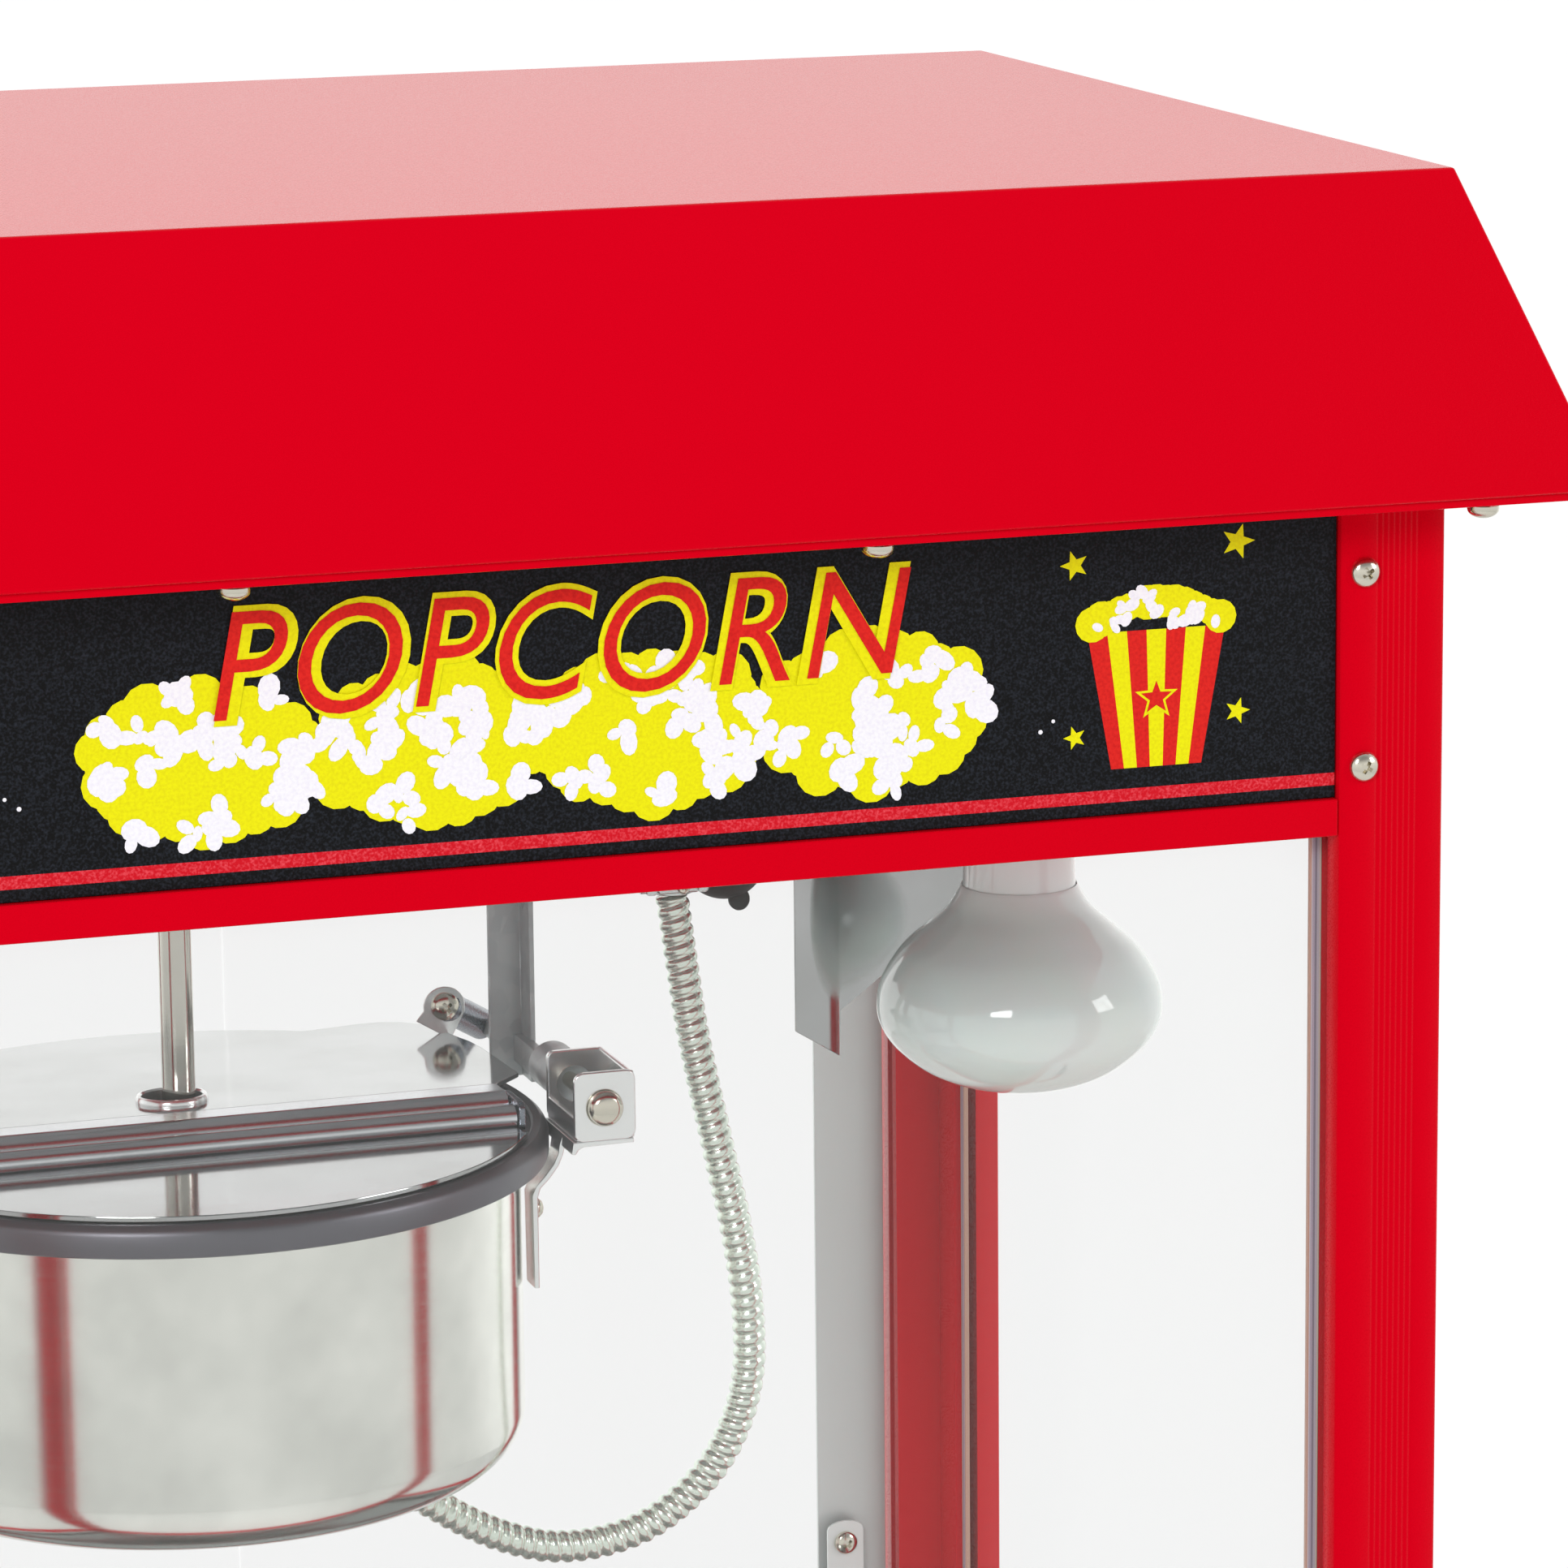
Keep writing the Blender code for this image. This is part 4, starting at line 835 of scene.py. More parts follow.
def print_signs():
    """One set of prints for the front, and the heaps and the word again at both sides."""
    sheet = black_print()
    for side in ("front", "left", "right"):
        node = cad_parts[f"sign_{side}"]
        node.data.materials.clear()
        node.data.materials.append(sheet)
    faces = {
        "front": Matrix.Translation((0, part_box("sign_front")[0].y, 0)),
        "right": Matrix.Translation((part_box("sign_right")[1].x, 0, 0)) @ Matrix.Rotation(math.radians(90), 4, "Z"),
        "left": Matrix.Translation((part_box("sign_left")[0].x, 0, 0)) @ Matrix.Rotation(math.radians(-90), 4, "Z"),
    }
    for side, place in faces.items():
        draw = random.Random(7)
        shapes = {ink: bmesh.new() for ink in INKS}
        for heap in range(4):
            print_popcorn(shapes, -0.0870 + 0.0580 * heap, EAVES - 0.0495 + 0.0006 * (heap % 2), draw)
        if side == "front":
            print_carton(shapes, 0.1650, draw)
            print_carton(shapes, -0.1650, draw)
            for spot_u, spot_v, size in ((0.1331, 0.0578, 0.0006), (0.1366, 0.0552, 0.0005)):
                for mirror in (-1, 1):
                    ink_outline(shapes["white"], ring_points(mirror * spot_u, EAVES - spot_v, size), 0.00006)
        if side != "front":
            shapes.pop("red").free()
        for ink, shape in shapes.items():
            mesh = bpy.data.meshes.new(f"{side}_sign_{ink}_print")
            shape.to_mesh(mesh)
            shape.free()
            mesh.transform(place)
            patch = bpy.data.objects.new(mesh.name, mesh)
            bpy.context.collection.objects.link(patch)
            put_on(patch, INKS[ink], "cabinet", slot="black_print")
        for ink, outline, lift in (("yellow", 0.0013, 0.00042), ("red", -0.0002, 0.00060)):
            word = print_word(outline, lift, 0.00006)
            word.data.transform(place)
            word.name = word.data.name = f"{side}_sign_{ink}_word"
            put_on(word, INKS[ink], "cabinet", slot="black_print")


print_signs()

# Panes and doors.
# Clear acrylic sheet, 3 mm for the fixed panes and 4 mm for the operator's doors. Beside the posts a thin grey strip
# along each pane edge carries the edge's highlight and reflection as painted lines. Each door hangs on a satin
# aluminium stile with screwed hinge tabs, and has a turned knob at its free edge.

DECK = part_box("base_housing")[1].z


def clear_acrylic():
    """Clear acrylic sheet: almost nothing but a faint grey veil and a gloss."""
    made, tree, shader = new_material("clear_acrylic_sheet", "#A9AEAC", 0.04, 0.0, IOR=1.49, Alpha=0.05)
    place = add_node(tree, "ShaderNodeTexCoord")
    haze = add_node(tree, "ShaderNodeTexNoise", {"Scale": 14.0, "Detail": 2.0}, {"Vector": place.outputs["Object"]})
    rough = add_node(tree, "ShaderNodeMapRange", {"To Min": 0.02, "To Max": 0.07}, {"Value": haze.outputs["Fac"]})
    tree.links.new(rough.outputs["Result"], shader.inputs["Roughness"])
    return made


def pane_edge_highlight_paint():
    """A grey strip with a pane edge's highlight and reflection painted on: lilac grey with a beige edge and a thin
    orange line, in lines 0.4 to 2 mm wide along it.
    """
    made, tree, shader = new_material("painted_pane_edge_highlight", "#A5A2B2", 0.35)
    uv = add_node(tree, "ShaderNodeAttribute", {"attribute_name": "across"})
    ramp = add_node(tree, "ShaderNodeValToRGB", None, {"Fac": uv.outputs["Fac"]})
    ramp.color_ramp.interpolation = "CONSTANT"
    # Painted highlight and reflection: these bands stand in for the light seen in the pane's edge.
    stops = [(0.0, "#C9A08E"), (0.13, "#D6D4DA"), (0.22, "#B7B2C4"), (0.42, "#8F8C9C"), (0.60, "#C2BFCB")]
    stops += [(0.80, "#D9CFC0"), (0.93, "#A08C86")]
    for number, (place, colour) in enumerate(stops):
        stop = ramp.color_ramp.elements[0] if number == 0 else ramp.color_ramp.elements.new(place)
        stop.position, stop.color = place, srgb(colour)
    ramp.color_ramp.elements.remove(ramp.color_ramp.elements[-1])
    tree.links.new(ramp.outputs["Color"], shader.inputs["Base Color"])
    return made


def satin_aluminium():
    """Anodised aluminium: pale and satin, drawn along Z with lines about 0.2 mm apart.

    It is less metallic than the real sheet, to stay pale where the room behind the viewer is dim.
    """
    made, tree, shader = new_material("satin_anodised_aluminium", "#F2F8F7", 0.4, 0.3)
    place = add_node(tree, "ShaderNodeTexCoord")
    drawn = add_node(tree, "ShaderNodeMapping", {"Scale": (5000, 5000, 12)}, {"Vector": place.outputs["Object"]})
    lines = add_node(tree, "ShaderNodeTexNoise", {"Scale": 1.0, "Detail": 3.0}, {"Vector": drawn.outputs["Vector"]})
    rough = add_node(tree, "ShaderNodeMapRange", {"To Min": 0.34, "To Max": 0.5}, {"Value": lines.outputs["Fac"]})
    tree.links.new(rough.outputs["Result"], shader.inputs["Roughness"])
    return made


def black_plastic():
    """Moulded black plastic with a fine spark texture of about 0.4 mm."""
    made, tree, shader = new_material("black_moulded_plastic", "#17171A", 0.42)
    place = add_node(tree, "ShaderNodeTexCoord")
    spark = add_node(tree, "ShaderNodeTexNoise", {"Scale": 2500.0, "Detail": 2.0}, {"Vector": place.outputs["Object"]})
    dent = add_node(tree, "ShaderNodeBump", {"Strength": 0.25, "Distance": 0.00008}, {"Height": spark.outputs["Fac"]})
    tree.links.new(dent.outputs["Normal"], shader.inputs["Normal"])
    return made


BLACK = black_plastic()
ALUMINIUM = satin_aluminium()


def mark_across(piece, axis, start, end):
    """An attribute that runs from 0 to 1 across a piece."""
    values = piece.data.attributes.new("across", "FLOAT", "POINT")
    for vertex, item in zip(piece.data.vertices, values.data):
        item.value = (vertex.co[axis] - start) / (end - start)


def glaze():
    """The panes with polished edges, and strips at the posts with the pane edges' highlight and reflection painted on.
    """
    acrylic, edge_highlight = clear_acrylic(), pane_edge_highlight_paint()
    for side in ("front", "left", "right"):
        pane = soft_copy(f"polished_pane_{side}", f"pane_{side}", 0.0003, 1)
        put_on(pane, acrylic, "cabinet", f"pane_{side}", slot="clear_acrylic")
    opening_x = BODY_X - POST_LEG
    foot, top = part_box("pane_front")[0].z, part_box("pane_front")[1].z
    face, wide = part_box("pane_front")[1].y + 0.0002, 0.0034
    # Thin strips at the posts, carrying the pane edges' painted highlight and reflection.
    for side, right in (("left", -1), ("right", 1)):
        ends = sorted((right * opening_x, right * (opening_x - wide)))
        strip = block(f"front_pane_edge_highlight_strip_{side}", (ends[0], face, foot), (ends[1], face + 0.0016, top), 0.0003)
        mark_across(strip, 0, right * (opening_x - wide), right * opening_x)
        put_on(strip, edge_highlight, "cabinet", slot="black_plastic")
        inner = abs(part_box(f"pane_{side}")[0 if right > 0 else 1].x) - 0.0002
        for end, back in (("front", -1), ("rear", 1)):
            rim_y = back * (BODY_Y - POST_LEG)
            spans = sorted((rim_y, rim_y - back * wide))
            span_x = sorted((right * inner, right * (inner - 0.0016)))
            low, high = (span_x[0], spans[0], foot), (span_x[1], spans[1], top)
            strip = block(f"side_trim_{end}_{side}", low, high, 0.0003)
            mark_across(strip, 1, rim_y - back * wide, rim_y)
            put_on(strip, edge_highlight, "cabinet", slot="black_plastic")
    for side in ("left", "right"):
        leaf = soft_copy(f"polished_door_{side}", f"door_{side}", 0.0004, 1)
        put_on(leaf, acrylic, f"{side}_door", f"door_{side}", slot="clear_acrylic")


def hang_doors():
    """Stiles, hinge tabs with a screw each, hinge barrels and knobs."""
    screw = make_screw_head(0.0038, 0.0024)
    for side, right in (("left", -1), ("right", 1)):
        body = f"{side}_door"
        stile = soft_copy(f"drawn_stile_{side}", f"door_stile_{side}", 0.0003)
        put_on(stile, ALUMINIUM, body, f"door_stile_{side}", slot="satin_aluminium")
        low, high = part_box(f"door_{side}")
        face = low.y
        tabs, heads = [], []
        for number, top in enumerate((EAVES - 0.3885, EAVES - 0.1250)):
            middle, half, tall = right * 0.1990, 0.0060, 0.050 if number == 0 else 0.020
            outline = [(middle - half, face, top - tall), (middle - half, face, top - 0.003)]
            for step in range(9):
                angle = math.pi * (1 - step / 8)
                outline.append((middle + half * math.cos(angle), face, top - 0.003 + 0.003 * math.sin(angle)))
            outline.append((middle + half, face, top - tall))
            tabs.append(extrude_outline("tab", outline, (0, -0.001, 0)))
            heads.append(copy_at(screw, "tab_screw", facing((middle, face - 0.001, top - 0.0072), (0, -1, 0), 20)))
        put_on(join_pieces(f"hinge_tabs_{side}", tabs), ALUMINIUM, body, slot="satin_aluminium")
        put_on(join_pieces(f"tab_screws_{side}", heads), NICKEL, body, slot="chrome")
        barrels = []
        for foot in (DECK + 0.030, high.z - 0.090):
            profile = [(0, foot), (0.0009, foot), (0.0013, foot + 0.0004)]
            for gap in (0.020, 0.040):
                level = foot + gap
                profile += [(0.0013, level - 0.0003), (0.0010, level), (0.0013, level + 0.0003)]
            profile += [(0.0013, foot + 0.0596), (0.0009, foot + 0.060), (0, foot + 0.060)]
            barrels.append(turn_on_lathe("barrel", profile, (right * 0.2150, 0.1870, 0), 20))
        put_on(join_pieces(f"hinge_barrels_{side}", barrels), ALUMINIUM, body, slot="satin_aluminium")
        profile = [(0, 0), (0.0055, 0), (0.0050, 0.002), (0.0042, 0.007), (0.0060, 0.010), (0.0082, 0.013)]
        profile += [(0.0088, 0.016), (0.0080, 0.0185), (0.0050, 0.0200), (0, 0.0204)]
        knob = turn_on_lathe(f"door_knob_{side}", profile, (right * 0.0260, high.y, (low.z + high.z) / 2), 40, "Y")
        put_on(knob, BLACK, body, slot="black_plastic")
    bpy.data.objects.remove(screw)


glaze()
hang_doors()

# Ceiling, motor and drive.
# A galvanised deck closes the cabinet under the canopy. The gear motor stands on it, and its coupling hangs through
# a hole with a tongue for the stirring shaft.


def galvanised():
    """Galvanised sheet: pale, with a spangle of 4 mm crystals. It is far less metallic than the real sheet."""
    made, tree, shader = new_material("galvanised_sheet", "#F4F8F7", 0.32, 0.12)
    place = add_node(tree, "ShaderNodeTexCoord")
    spangle = add_node(tree, "ShaderNodeTexVoronoi", {"Scale": 240.0}, {"Vector": place.outputs["Object"]})
    tone = add_node(
        tree,
        "ShaderNodeMix",
        {"data_type": "RGBA", "blend_type": "MIX", 6: srgb("#C6CECF"), 7: srgb("#B6BFC2")},
        {0: spangle.outputs["Color"]},
    )
    tree.links.new(tone.outputs[2], shader.inputs["Base Color"])
    rough = add_node(tree, "ShaderNodeMapRange", {"To Min": 0.26, "To Max": 0.42}, {"Value": spangle.outputs["Color"]})
    tree.links.new(rough.outputs["Result"], shader.inputs["Roughness"])
    return made


def dark_enamel():
    """Dark grey enamel on castings: satin, with a sand texture of about 0.6 mm."""
    made, tree, shader = new_material("dark_grey_enamel", "#33363B", 0.45, 0.2)
    place = add_node(tree, "ShaderNodeTexCoord")
    sand = add_node(tree, "ShaderNodeTexNoise", {"Scale": 1600.0, "Detail": 3.0}, {"Vector": place.outputs["Object"]})
    dent = add_node(tree, "ShaderNodeBump", {"Strength": 0.3, "Distance": 0.0001}, {"Height": sand.outputs["Fac"]})
    tree.links.new(dent.outputs["Normal"], shader.inputs["Normal"])
    return made


def bright_zinc():
    """Bright zinc plate on pressings and bars: clear blue-white metal with faint rolling marks every 0.5 mm."""
    made, tree, shader = new_material("bright_zinc_plate", "#F4F6F6", 0.2, 0.85)
    place = add_node(tree, "ShaderNodeTexCoord")
    marks = add_node(tree, "ShaderNodeTexNoise", {"Scale": 1900.0, "Detail": 3.0}, {"Vector": place.outputs["Object"]})
    rough = add_node(tree, "ShaderNodeMapRange", {"To Min": 0.14, "To Max": 0.3}, {"Value": marks.outputs["Fac"]})
    tree.links.new(rough.outputs["Result"], shader.inputs["Roughness"])
    return made


GALVANISED, ENAMEL, ZINC = galvanised(), dark_enamel(), bright_zinc()


def fit_ceiling():
    """The deck, the motor with cooling rings on its can, and the coupling."""
    deck = soft_copy("galvanised_deck", "ceiling_plate", 0.0003, 1)
    put_on(deck, GALVANISED, "cabinet", "ceiling_plate", slot="zinc_steel")
    motor = soft_copy("enamelled_motor", "gear_motor", 0.0010)
    put_on(motor, ENAMEL, "cabinet", "gear_motor", slot="dark_steel")
    low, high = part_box("gear_motor")
    rings = []
    for number in range(4):
        level = high.z - 0.010 - 0.008 * number
        profile = [(0.0255, level), (0.0268, level + 0.0005), (0.0268, level + 0.0025), (0.0255, level + 0.003)]
        rings.append(turn_on_lathe("ring", [*profile, profile[0]], (-0.067, -0.020, 0), 48))
    put_on(join_pieces("motor_can_rings", rings), ENAMEL, "cabinet", slot="dark_steel")
    coupling = soft_copy("plated_coupling", "drive_coupling", 0.0003)
    put_on(coupling, ZINC, "drive", "drive_coupling", slot="zinc_steel")


fit_ceiling()

# Kettle hanger.
# A galvanised angle hangs from the deck, and an arm from it holds the pivot pin. A slanted stop with a teardrop plate
# and a screw meets the rear flap.

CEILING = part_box("ceiling_plate")[0].z

PIN_X, PIN_Z = 0.0506, EAVES - 0.1796


def grey_steel():
    """Plain steel bar and plate, oiled: blue-grey and satin, with drawing marks of about 0.4 mm."""
    made, tree, shader = new_material("oiled_grey_steel", "#878D96", 0.26, 1.0)
    place = add_node(tree, "ShaderNodeTexCoord")
    marks = add_node(tree, "ShaderNodeTexNoise", {"Scale": 2400.0, "Detail": 3.0}, {"Vector": place.outputs["Object"]})
    rough = add_node(tree, "ShaderNodeMapRange", {"To Min": 0.2, "To Max": 0.36}, {"Value": marks.outputs["Fac"]})
    tree.links.new(rough.outputs["Result"], shader.inputs["Roughness"])
    return made


GREY_STEEL = grey_steel()

def extrude_plate(name, outline, axis, start, end, edge=0.0003, segments=2):
    """A flat outline of (first, second) pushed along an axis, with its edges rounded."""
    order = {
        "X": lambda u, v: (start, u, v),
        "Y": lambda u, v: (u, start, v),
        "Z": lambda u, v: (u, v, start),
    }[axis]
    push = {"X": (end - start, 0, 0), "Y": (0, end - start, 0), "Z": (0, 0, end - start)}[axis]
    return round_edges(extrude_outline(name, [order(u, v) for u, v in outline], push), edge, segments)


def rounded_rectangle(low, high, radius, steps=6):
    """Points round a rectangle with quarter-round corners."""
    points = []
    corners = [(high[0], high[1], 0), (low[0], high[1], 90), (low[0], low[1], 180), (high[0], low[1], 270)]
    for u, v, first in corners:
        u += -radius if u == high[0] else radius
        v += -radius if v == high[1] else radius
        for step in range(steps + 1):
            angle = math.radians(first + 90 * step / steps)
            points.append((u + radius * math.cos(angle), v + radius * math.sin(angle)))
    return points


def bar_between(name, radius, start, end, steps=32):
    """A round bar with softened ends between two points."""
    start, end = Vector(start), Vector(end)
    long, soft = (end - start).length, min(0.0005, radius / 3)
    profile = [(0, 0), (radius - soft, 0), (radius, soft), (radius, long - soft), (radius - soft, long), (0, long)]
    bar = turn_on_lathe(name, profile, (0, 0, 0), steps)
    bar.data.transform(Matrix.Translation(start) @ (end - start).to_track_quat("Z", "X").to_matrix().to_4x4())
    return bar


def hang_bracket():
    """The angle, its fixing ear, the arm and its boss."""
    back, sheet, foot = 0.020, 0.0015, EAVES - 0.1900
    outline = [(0.0410, back), (0.0410, back + sheet), (0.0520, back + sheet), (0.0520, back - 0.009)]
    outline += [(0.0505, back - 0.009), (0.0505, back)]
    angle = extrude_plate("hanger_angle", outline, "Z", foot, CEILING - 0.0003)
    ear = block("ear", (0.0300, back, CEILING - 0.0018), (0.0640, back + 0.016, CEILING - 0.0003))
    low, high = (0.0480, -0.024, PIN_Z - 0.0062), (0.0515, back + 0.001, PIN_Z + 0.0020)
    arm = block("arm", low, high, 0.0006)
    spur = block("spur", (0.0480, back + 0.001, PIN_Z - 0.0060), (0.0515, 0.062, PIN_Z - 0.0010), 0.0006)
    profile = [(0, 0), (0.0062, 0), (0.0068, 0.0006), (0.0068, 0.018), (0, 0.018)]
    boss = turn_on_lathe("boss", profile, (0, 0, 0), 40, "Y")
    boss.data.transform(Matrix.Translation((PIN_X, -0.028, PIN_Z)))
    put_on(join_pieces("kettle_hanger", [angle, ear, arm, spur, boss]), GALVANISED, "cabinet", "hanger_right",
           slot="zinc_steel")
    heads = []
    master = make_screw_head(0.0036, 0.0022)
    for x in (0.0345, 0.0595):
        heads.append(copy_at(master, "ear_screw", facing((x, back + 0.008, CEILING - 0.0018), (0, 0, -1), 30)))
    put_on(join_pieces("ear_screws", heads), NICKEL, "cabinet", slot="chrome")
    bpy.data.objects.remove(master)


def fit_lid_stop():
    """The slanted stop, its teardrop plate and its screw."""
    foot, end = Vector((0.0490, 0.058, PIN_Z - 0.0040)), Vector((0.0330, 0.040, EAVES - 0.1725))
    rod = bar_between("lid_stop", 0.0046, foot, end)
    put_on(rod, GREY_STEEL, "cabinet", slot="zinc_steel")
    x, y, z = 0.0326, 0.0386, EAVES - 0.1724
    outline = [(x + 0.0018, z - 0.0100), (x + 0.0062, z - 0.0020)]
    for step in range(13):
        angle = math.radians(-10 + 200 * step / 12)
        outline.append((x + 0.0062 * math.cos(angle), z + 0.0058 * math.sin(angle)))
    outline += [(x - 0.0084, z - 0.0038)]
    plate = extrude_plate("stop_plate", outline, "Y", y, y + 0.0009, 0.0002)
    put_on(plate, ZINC, "cabinet", slot="zinc_steel")
    head = make_screw_head(0.0041, 0.0024)
    head.data.transform(facing((x + 0.0002, y, z), (0, -1, 0), 15))
    head.name = head.data.name = "stop_screw"
    put_on(head, NICKEL, "cabinet", slot="chrome")


def fit_pivot_pin():
    """The pin: a broad domed head in front, a dark collar, and a thin shank back to the boss."""
    head, front = 0.0049, -0.0655
    profile = [(0, 0), (0.0030, 0.0002), (0.0043, 0.0008), (head, 0.0018), (head, 0.0090), (0.0022, 0.0090)]
    profile += [(0.0022, 0.0510), (0, 0.0510)]
    pin = turn_on_lathe("pivot_pin_shank", profile, (PIN_X, front, PIN_Z), 48, "Y")
    put_on(pin, NICKEL, "cabinet", "pivot_pin", slot="chrome")
    profile = [(0.0022, 0.0090), (0.0036, 0.0092), (0.0038, 0.0098), (0.0038, 0.0158)]
    profile += [(0.0034, 0.0166), (0.0022, 0.0168)]
    collar = turn_on_lathe("pin_collar", [*profile, profile[0]], (PIN_X, front, PIN_Z), 40, "Y")
    put_on(collar, GREY_STEEL, "cabinet", slot="dark_steel")


hang_bracket()
fit_lid_stop()
fit_pivot_pin()

# Kettle.
# A drawn pot of polished stainless steel under a grey cast ring. Two flaps with rolled edges turn on rods between
# dark end tabs, and the stirring shaft passes through a lipped hole in the rear one. A clevis and a strap carry it.

KETTLE = (-0.059, -0.020, 0.0)


def polished_steel(name, colour, low, high, stretch, strength):
    """Polished stainless steel, with polishing marks drawn out by stretch and a bump of the strength given."""
    made, tree, shader = new_material(name, colour, low, 1.0)
    place = add_node(tree, "ShaderNodeTexCoord")
    drawn = add_node(tree, "ShaderNodeMapping", {"Scale": stretch}, {"Vector": place.outputs["Object"]})
    lines = add_node(tree, "ShaderNodeTexNoise", {"Scale": 1.0, "Detail": 4.0}, {"Vector": drawn.outputs["Vector"]})
    rough = add_node(tree, "ShaderNodeMapRange", {"To Min": low, "To Max": high}, {"Value": lines.outputs["Fac"]})
    tree.links.new(rough.outputs["Result"], shader.inputs["Roughness"])
    dent = add_node(
        tree, "ShaderNodeBump", {"Strength": strength, "Distance": 0.00005}, {"Height": lines.outputs["Fac"]}
    )
    tree.links.new(dent.outputs["Normal"], shader.inputs["Normal"])
    cloud = add_node(tree, "ShaderNodeTexNoise", {"Scale": 26.0, "Detail": 3.0}, {"Vector": place.outputs["Object"]})
    patchy = add_node(
        tree, "ShaderNodeMapRange", {"From Min": 0.35, "From Max": 0.7, "To Max": 0.30}, {"Value": cloud.outputs["Fac"]}
    )
    tone = add_node(
        tree,
        "ShaderNodeMix",
        {"data_type": "RGBA", 6: srgb(colour), 7: srgb("#8C8D88")},
        {0: patchy.outputs["Result"]},
    )
    tree.links.new(tone.outputs[2], shader.inputs["Base Color"])
    return made


def grey_ring_metal():
    """Anodised casting: dark violet grey, satin, with a grain of 0.5 mm."""
    made, tree, shader = new_material("grey_anodised_ring", "#6C6B71", 0.38, 0.85)
    place = add_node(tree, "ShaderNodeTexCoord")
    grain = add_node(tree, "ShaderNodeTexNoise", {"Scale": 2200.0, "Detail": 2.0}, {"Vector": place.outputs["Object"]})
    tone = add_node(
        tree,
        "ShaderNodeMix",
        {"data_type": "RGBA", 6: srgb("#615F66"), 7: srgb("#76757B")},
        {0: grain.outputs["Fac"]},
    )
    tree.links.new(tone.outputs[2], shader.inputs["Base Color"])
    return made


POT_STEEL = polished_steel("polished_pot_steel", "#F7F8F2", 0.08, 0.2, (30, 30, 2500), 0.10)
LID_STEEL = polished_steel("flat_lid_steel", "#BCBDBE", 0.06, 0.13, (40, 900, 40), 0.03)
ROLL_STEEL = polished_steel("rolled_edge_steel", "#DADDE1", 0.16, 0.3, (25, 2600, 2600), 0.2)
SHAFT_STEEL = polished_steel("ground_shaft_steel", "#D6D3CA", 0.08, 0.22, (2600, 2600, 40), 0.12)


def spin_pot():
    """The pot with its rolled foot corner, and the ring on its rim."""
    low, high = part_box("kettle_pot")
    outer, wall, corner = (high.x - low.x) / 2, 0.0014, 0.0150
    profile = [(0, low.z + 0.0010), (0.040, low.z + 0.0008), (outer - corner - 0.012, low.z + 0.0002)]
    for step in range(13):
        angle = math.radians(-90 + 90 * step / 12)
        profile.append((outer - corner + corner * math.cos(angle), low.z + corner + corner * math.sin(angle)))
    profile += [(outer, high.z), (outer - wall, high.z)]
    for step in range(13):
        angle = math.radians(-90 * step / 12)
        inner = corner - wall
        profile.append((outer - corner + inner * math.cos(angle), low.z + corner + inner * math.sin(angle)))
    profile += [(0, low.z + wall + 0.0010)]
    pot = turn_on_lathe("spun_pot", profile, KETTLE, 128)
    put_on(pot, POT_STEEL, "kettle", "kettle_pot", slot="polished_steel")
    low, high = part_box("kettle_rim")
    outer, hold = (high.x - low.x) / 2, (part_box("kettle_pot")[1].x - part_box("kettle_pot")[0].x) / 2 + 0.0002
    profile = [(hold, low.z), (outer - 0.0009, low.z), (outer - 0.0002, low.z + 0.0004), (outer, low.z + 0.0012)]
    profile += [(outer, high.z - 0.0026), (outer - 0.0007, high.z - 0.0012), (outer - 0.0022, high.z)]
    profile += [(0.0972, high.z), (0.0966, high.z - 0.0006), (0.0966, high.z - 0.0014), (hold, high.z - 0.0014)]
    ring = turn_on_lathe("cast_rim_ring", [*profile, profile[0]], KETTLE, 128)
    put_on(ring, grey_ring_metal(), "kettle", "kettle_rim", slot="dark_steel")


def roll_edge(name, centre, outer, inner, far, above):
    """A flap's rolled edge: an open curl round its rod, and the flat strip that leads to the flap."""
    side, rise, steps = (1 if far > centre[0] else -1), (1 if above else -1), 44
    start, turn = 90 * rise, 300 * rise * side
    points = [(far, centre[1] + rise * outer)]
    for radius, first, last in ((outer, start, start + turn), (inner, start + turn, start)):
        for step in range(steps + 1):
            angle = math.radians(first + (last - first) * step / steps)
            points.append((centre[0] + radius * math.cos(angle), centre[1] + radius * math.sin(angle)))
    points.append((far, centre[1] + rise * inner))
    half = 0.086
    return extrude_plate(name, points, "X", KETTLE[0] - half, KETTLE[0] + half, 0.00025)


def arc_points(radius, first, last, steps):
    """Points on an arc round the kettle's axis, in degrees."""
    angles = [math.radians(first + (last - first) * step / steps) for step in range(steps + 1)]
    return [(KETTLE[0] + radius * math.cos(a), KETTLE[1] + radius * math.sin(a)) for a in angles]


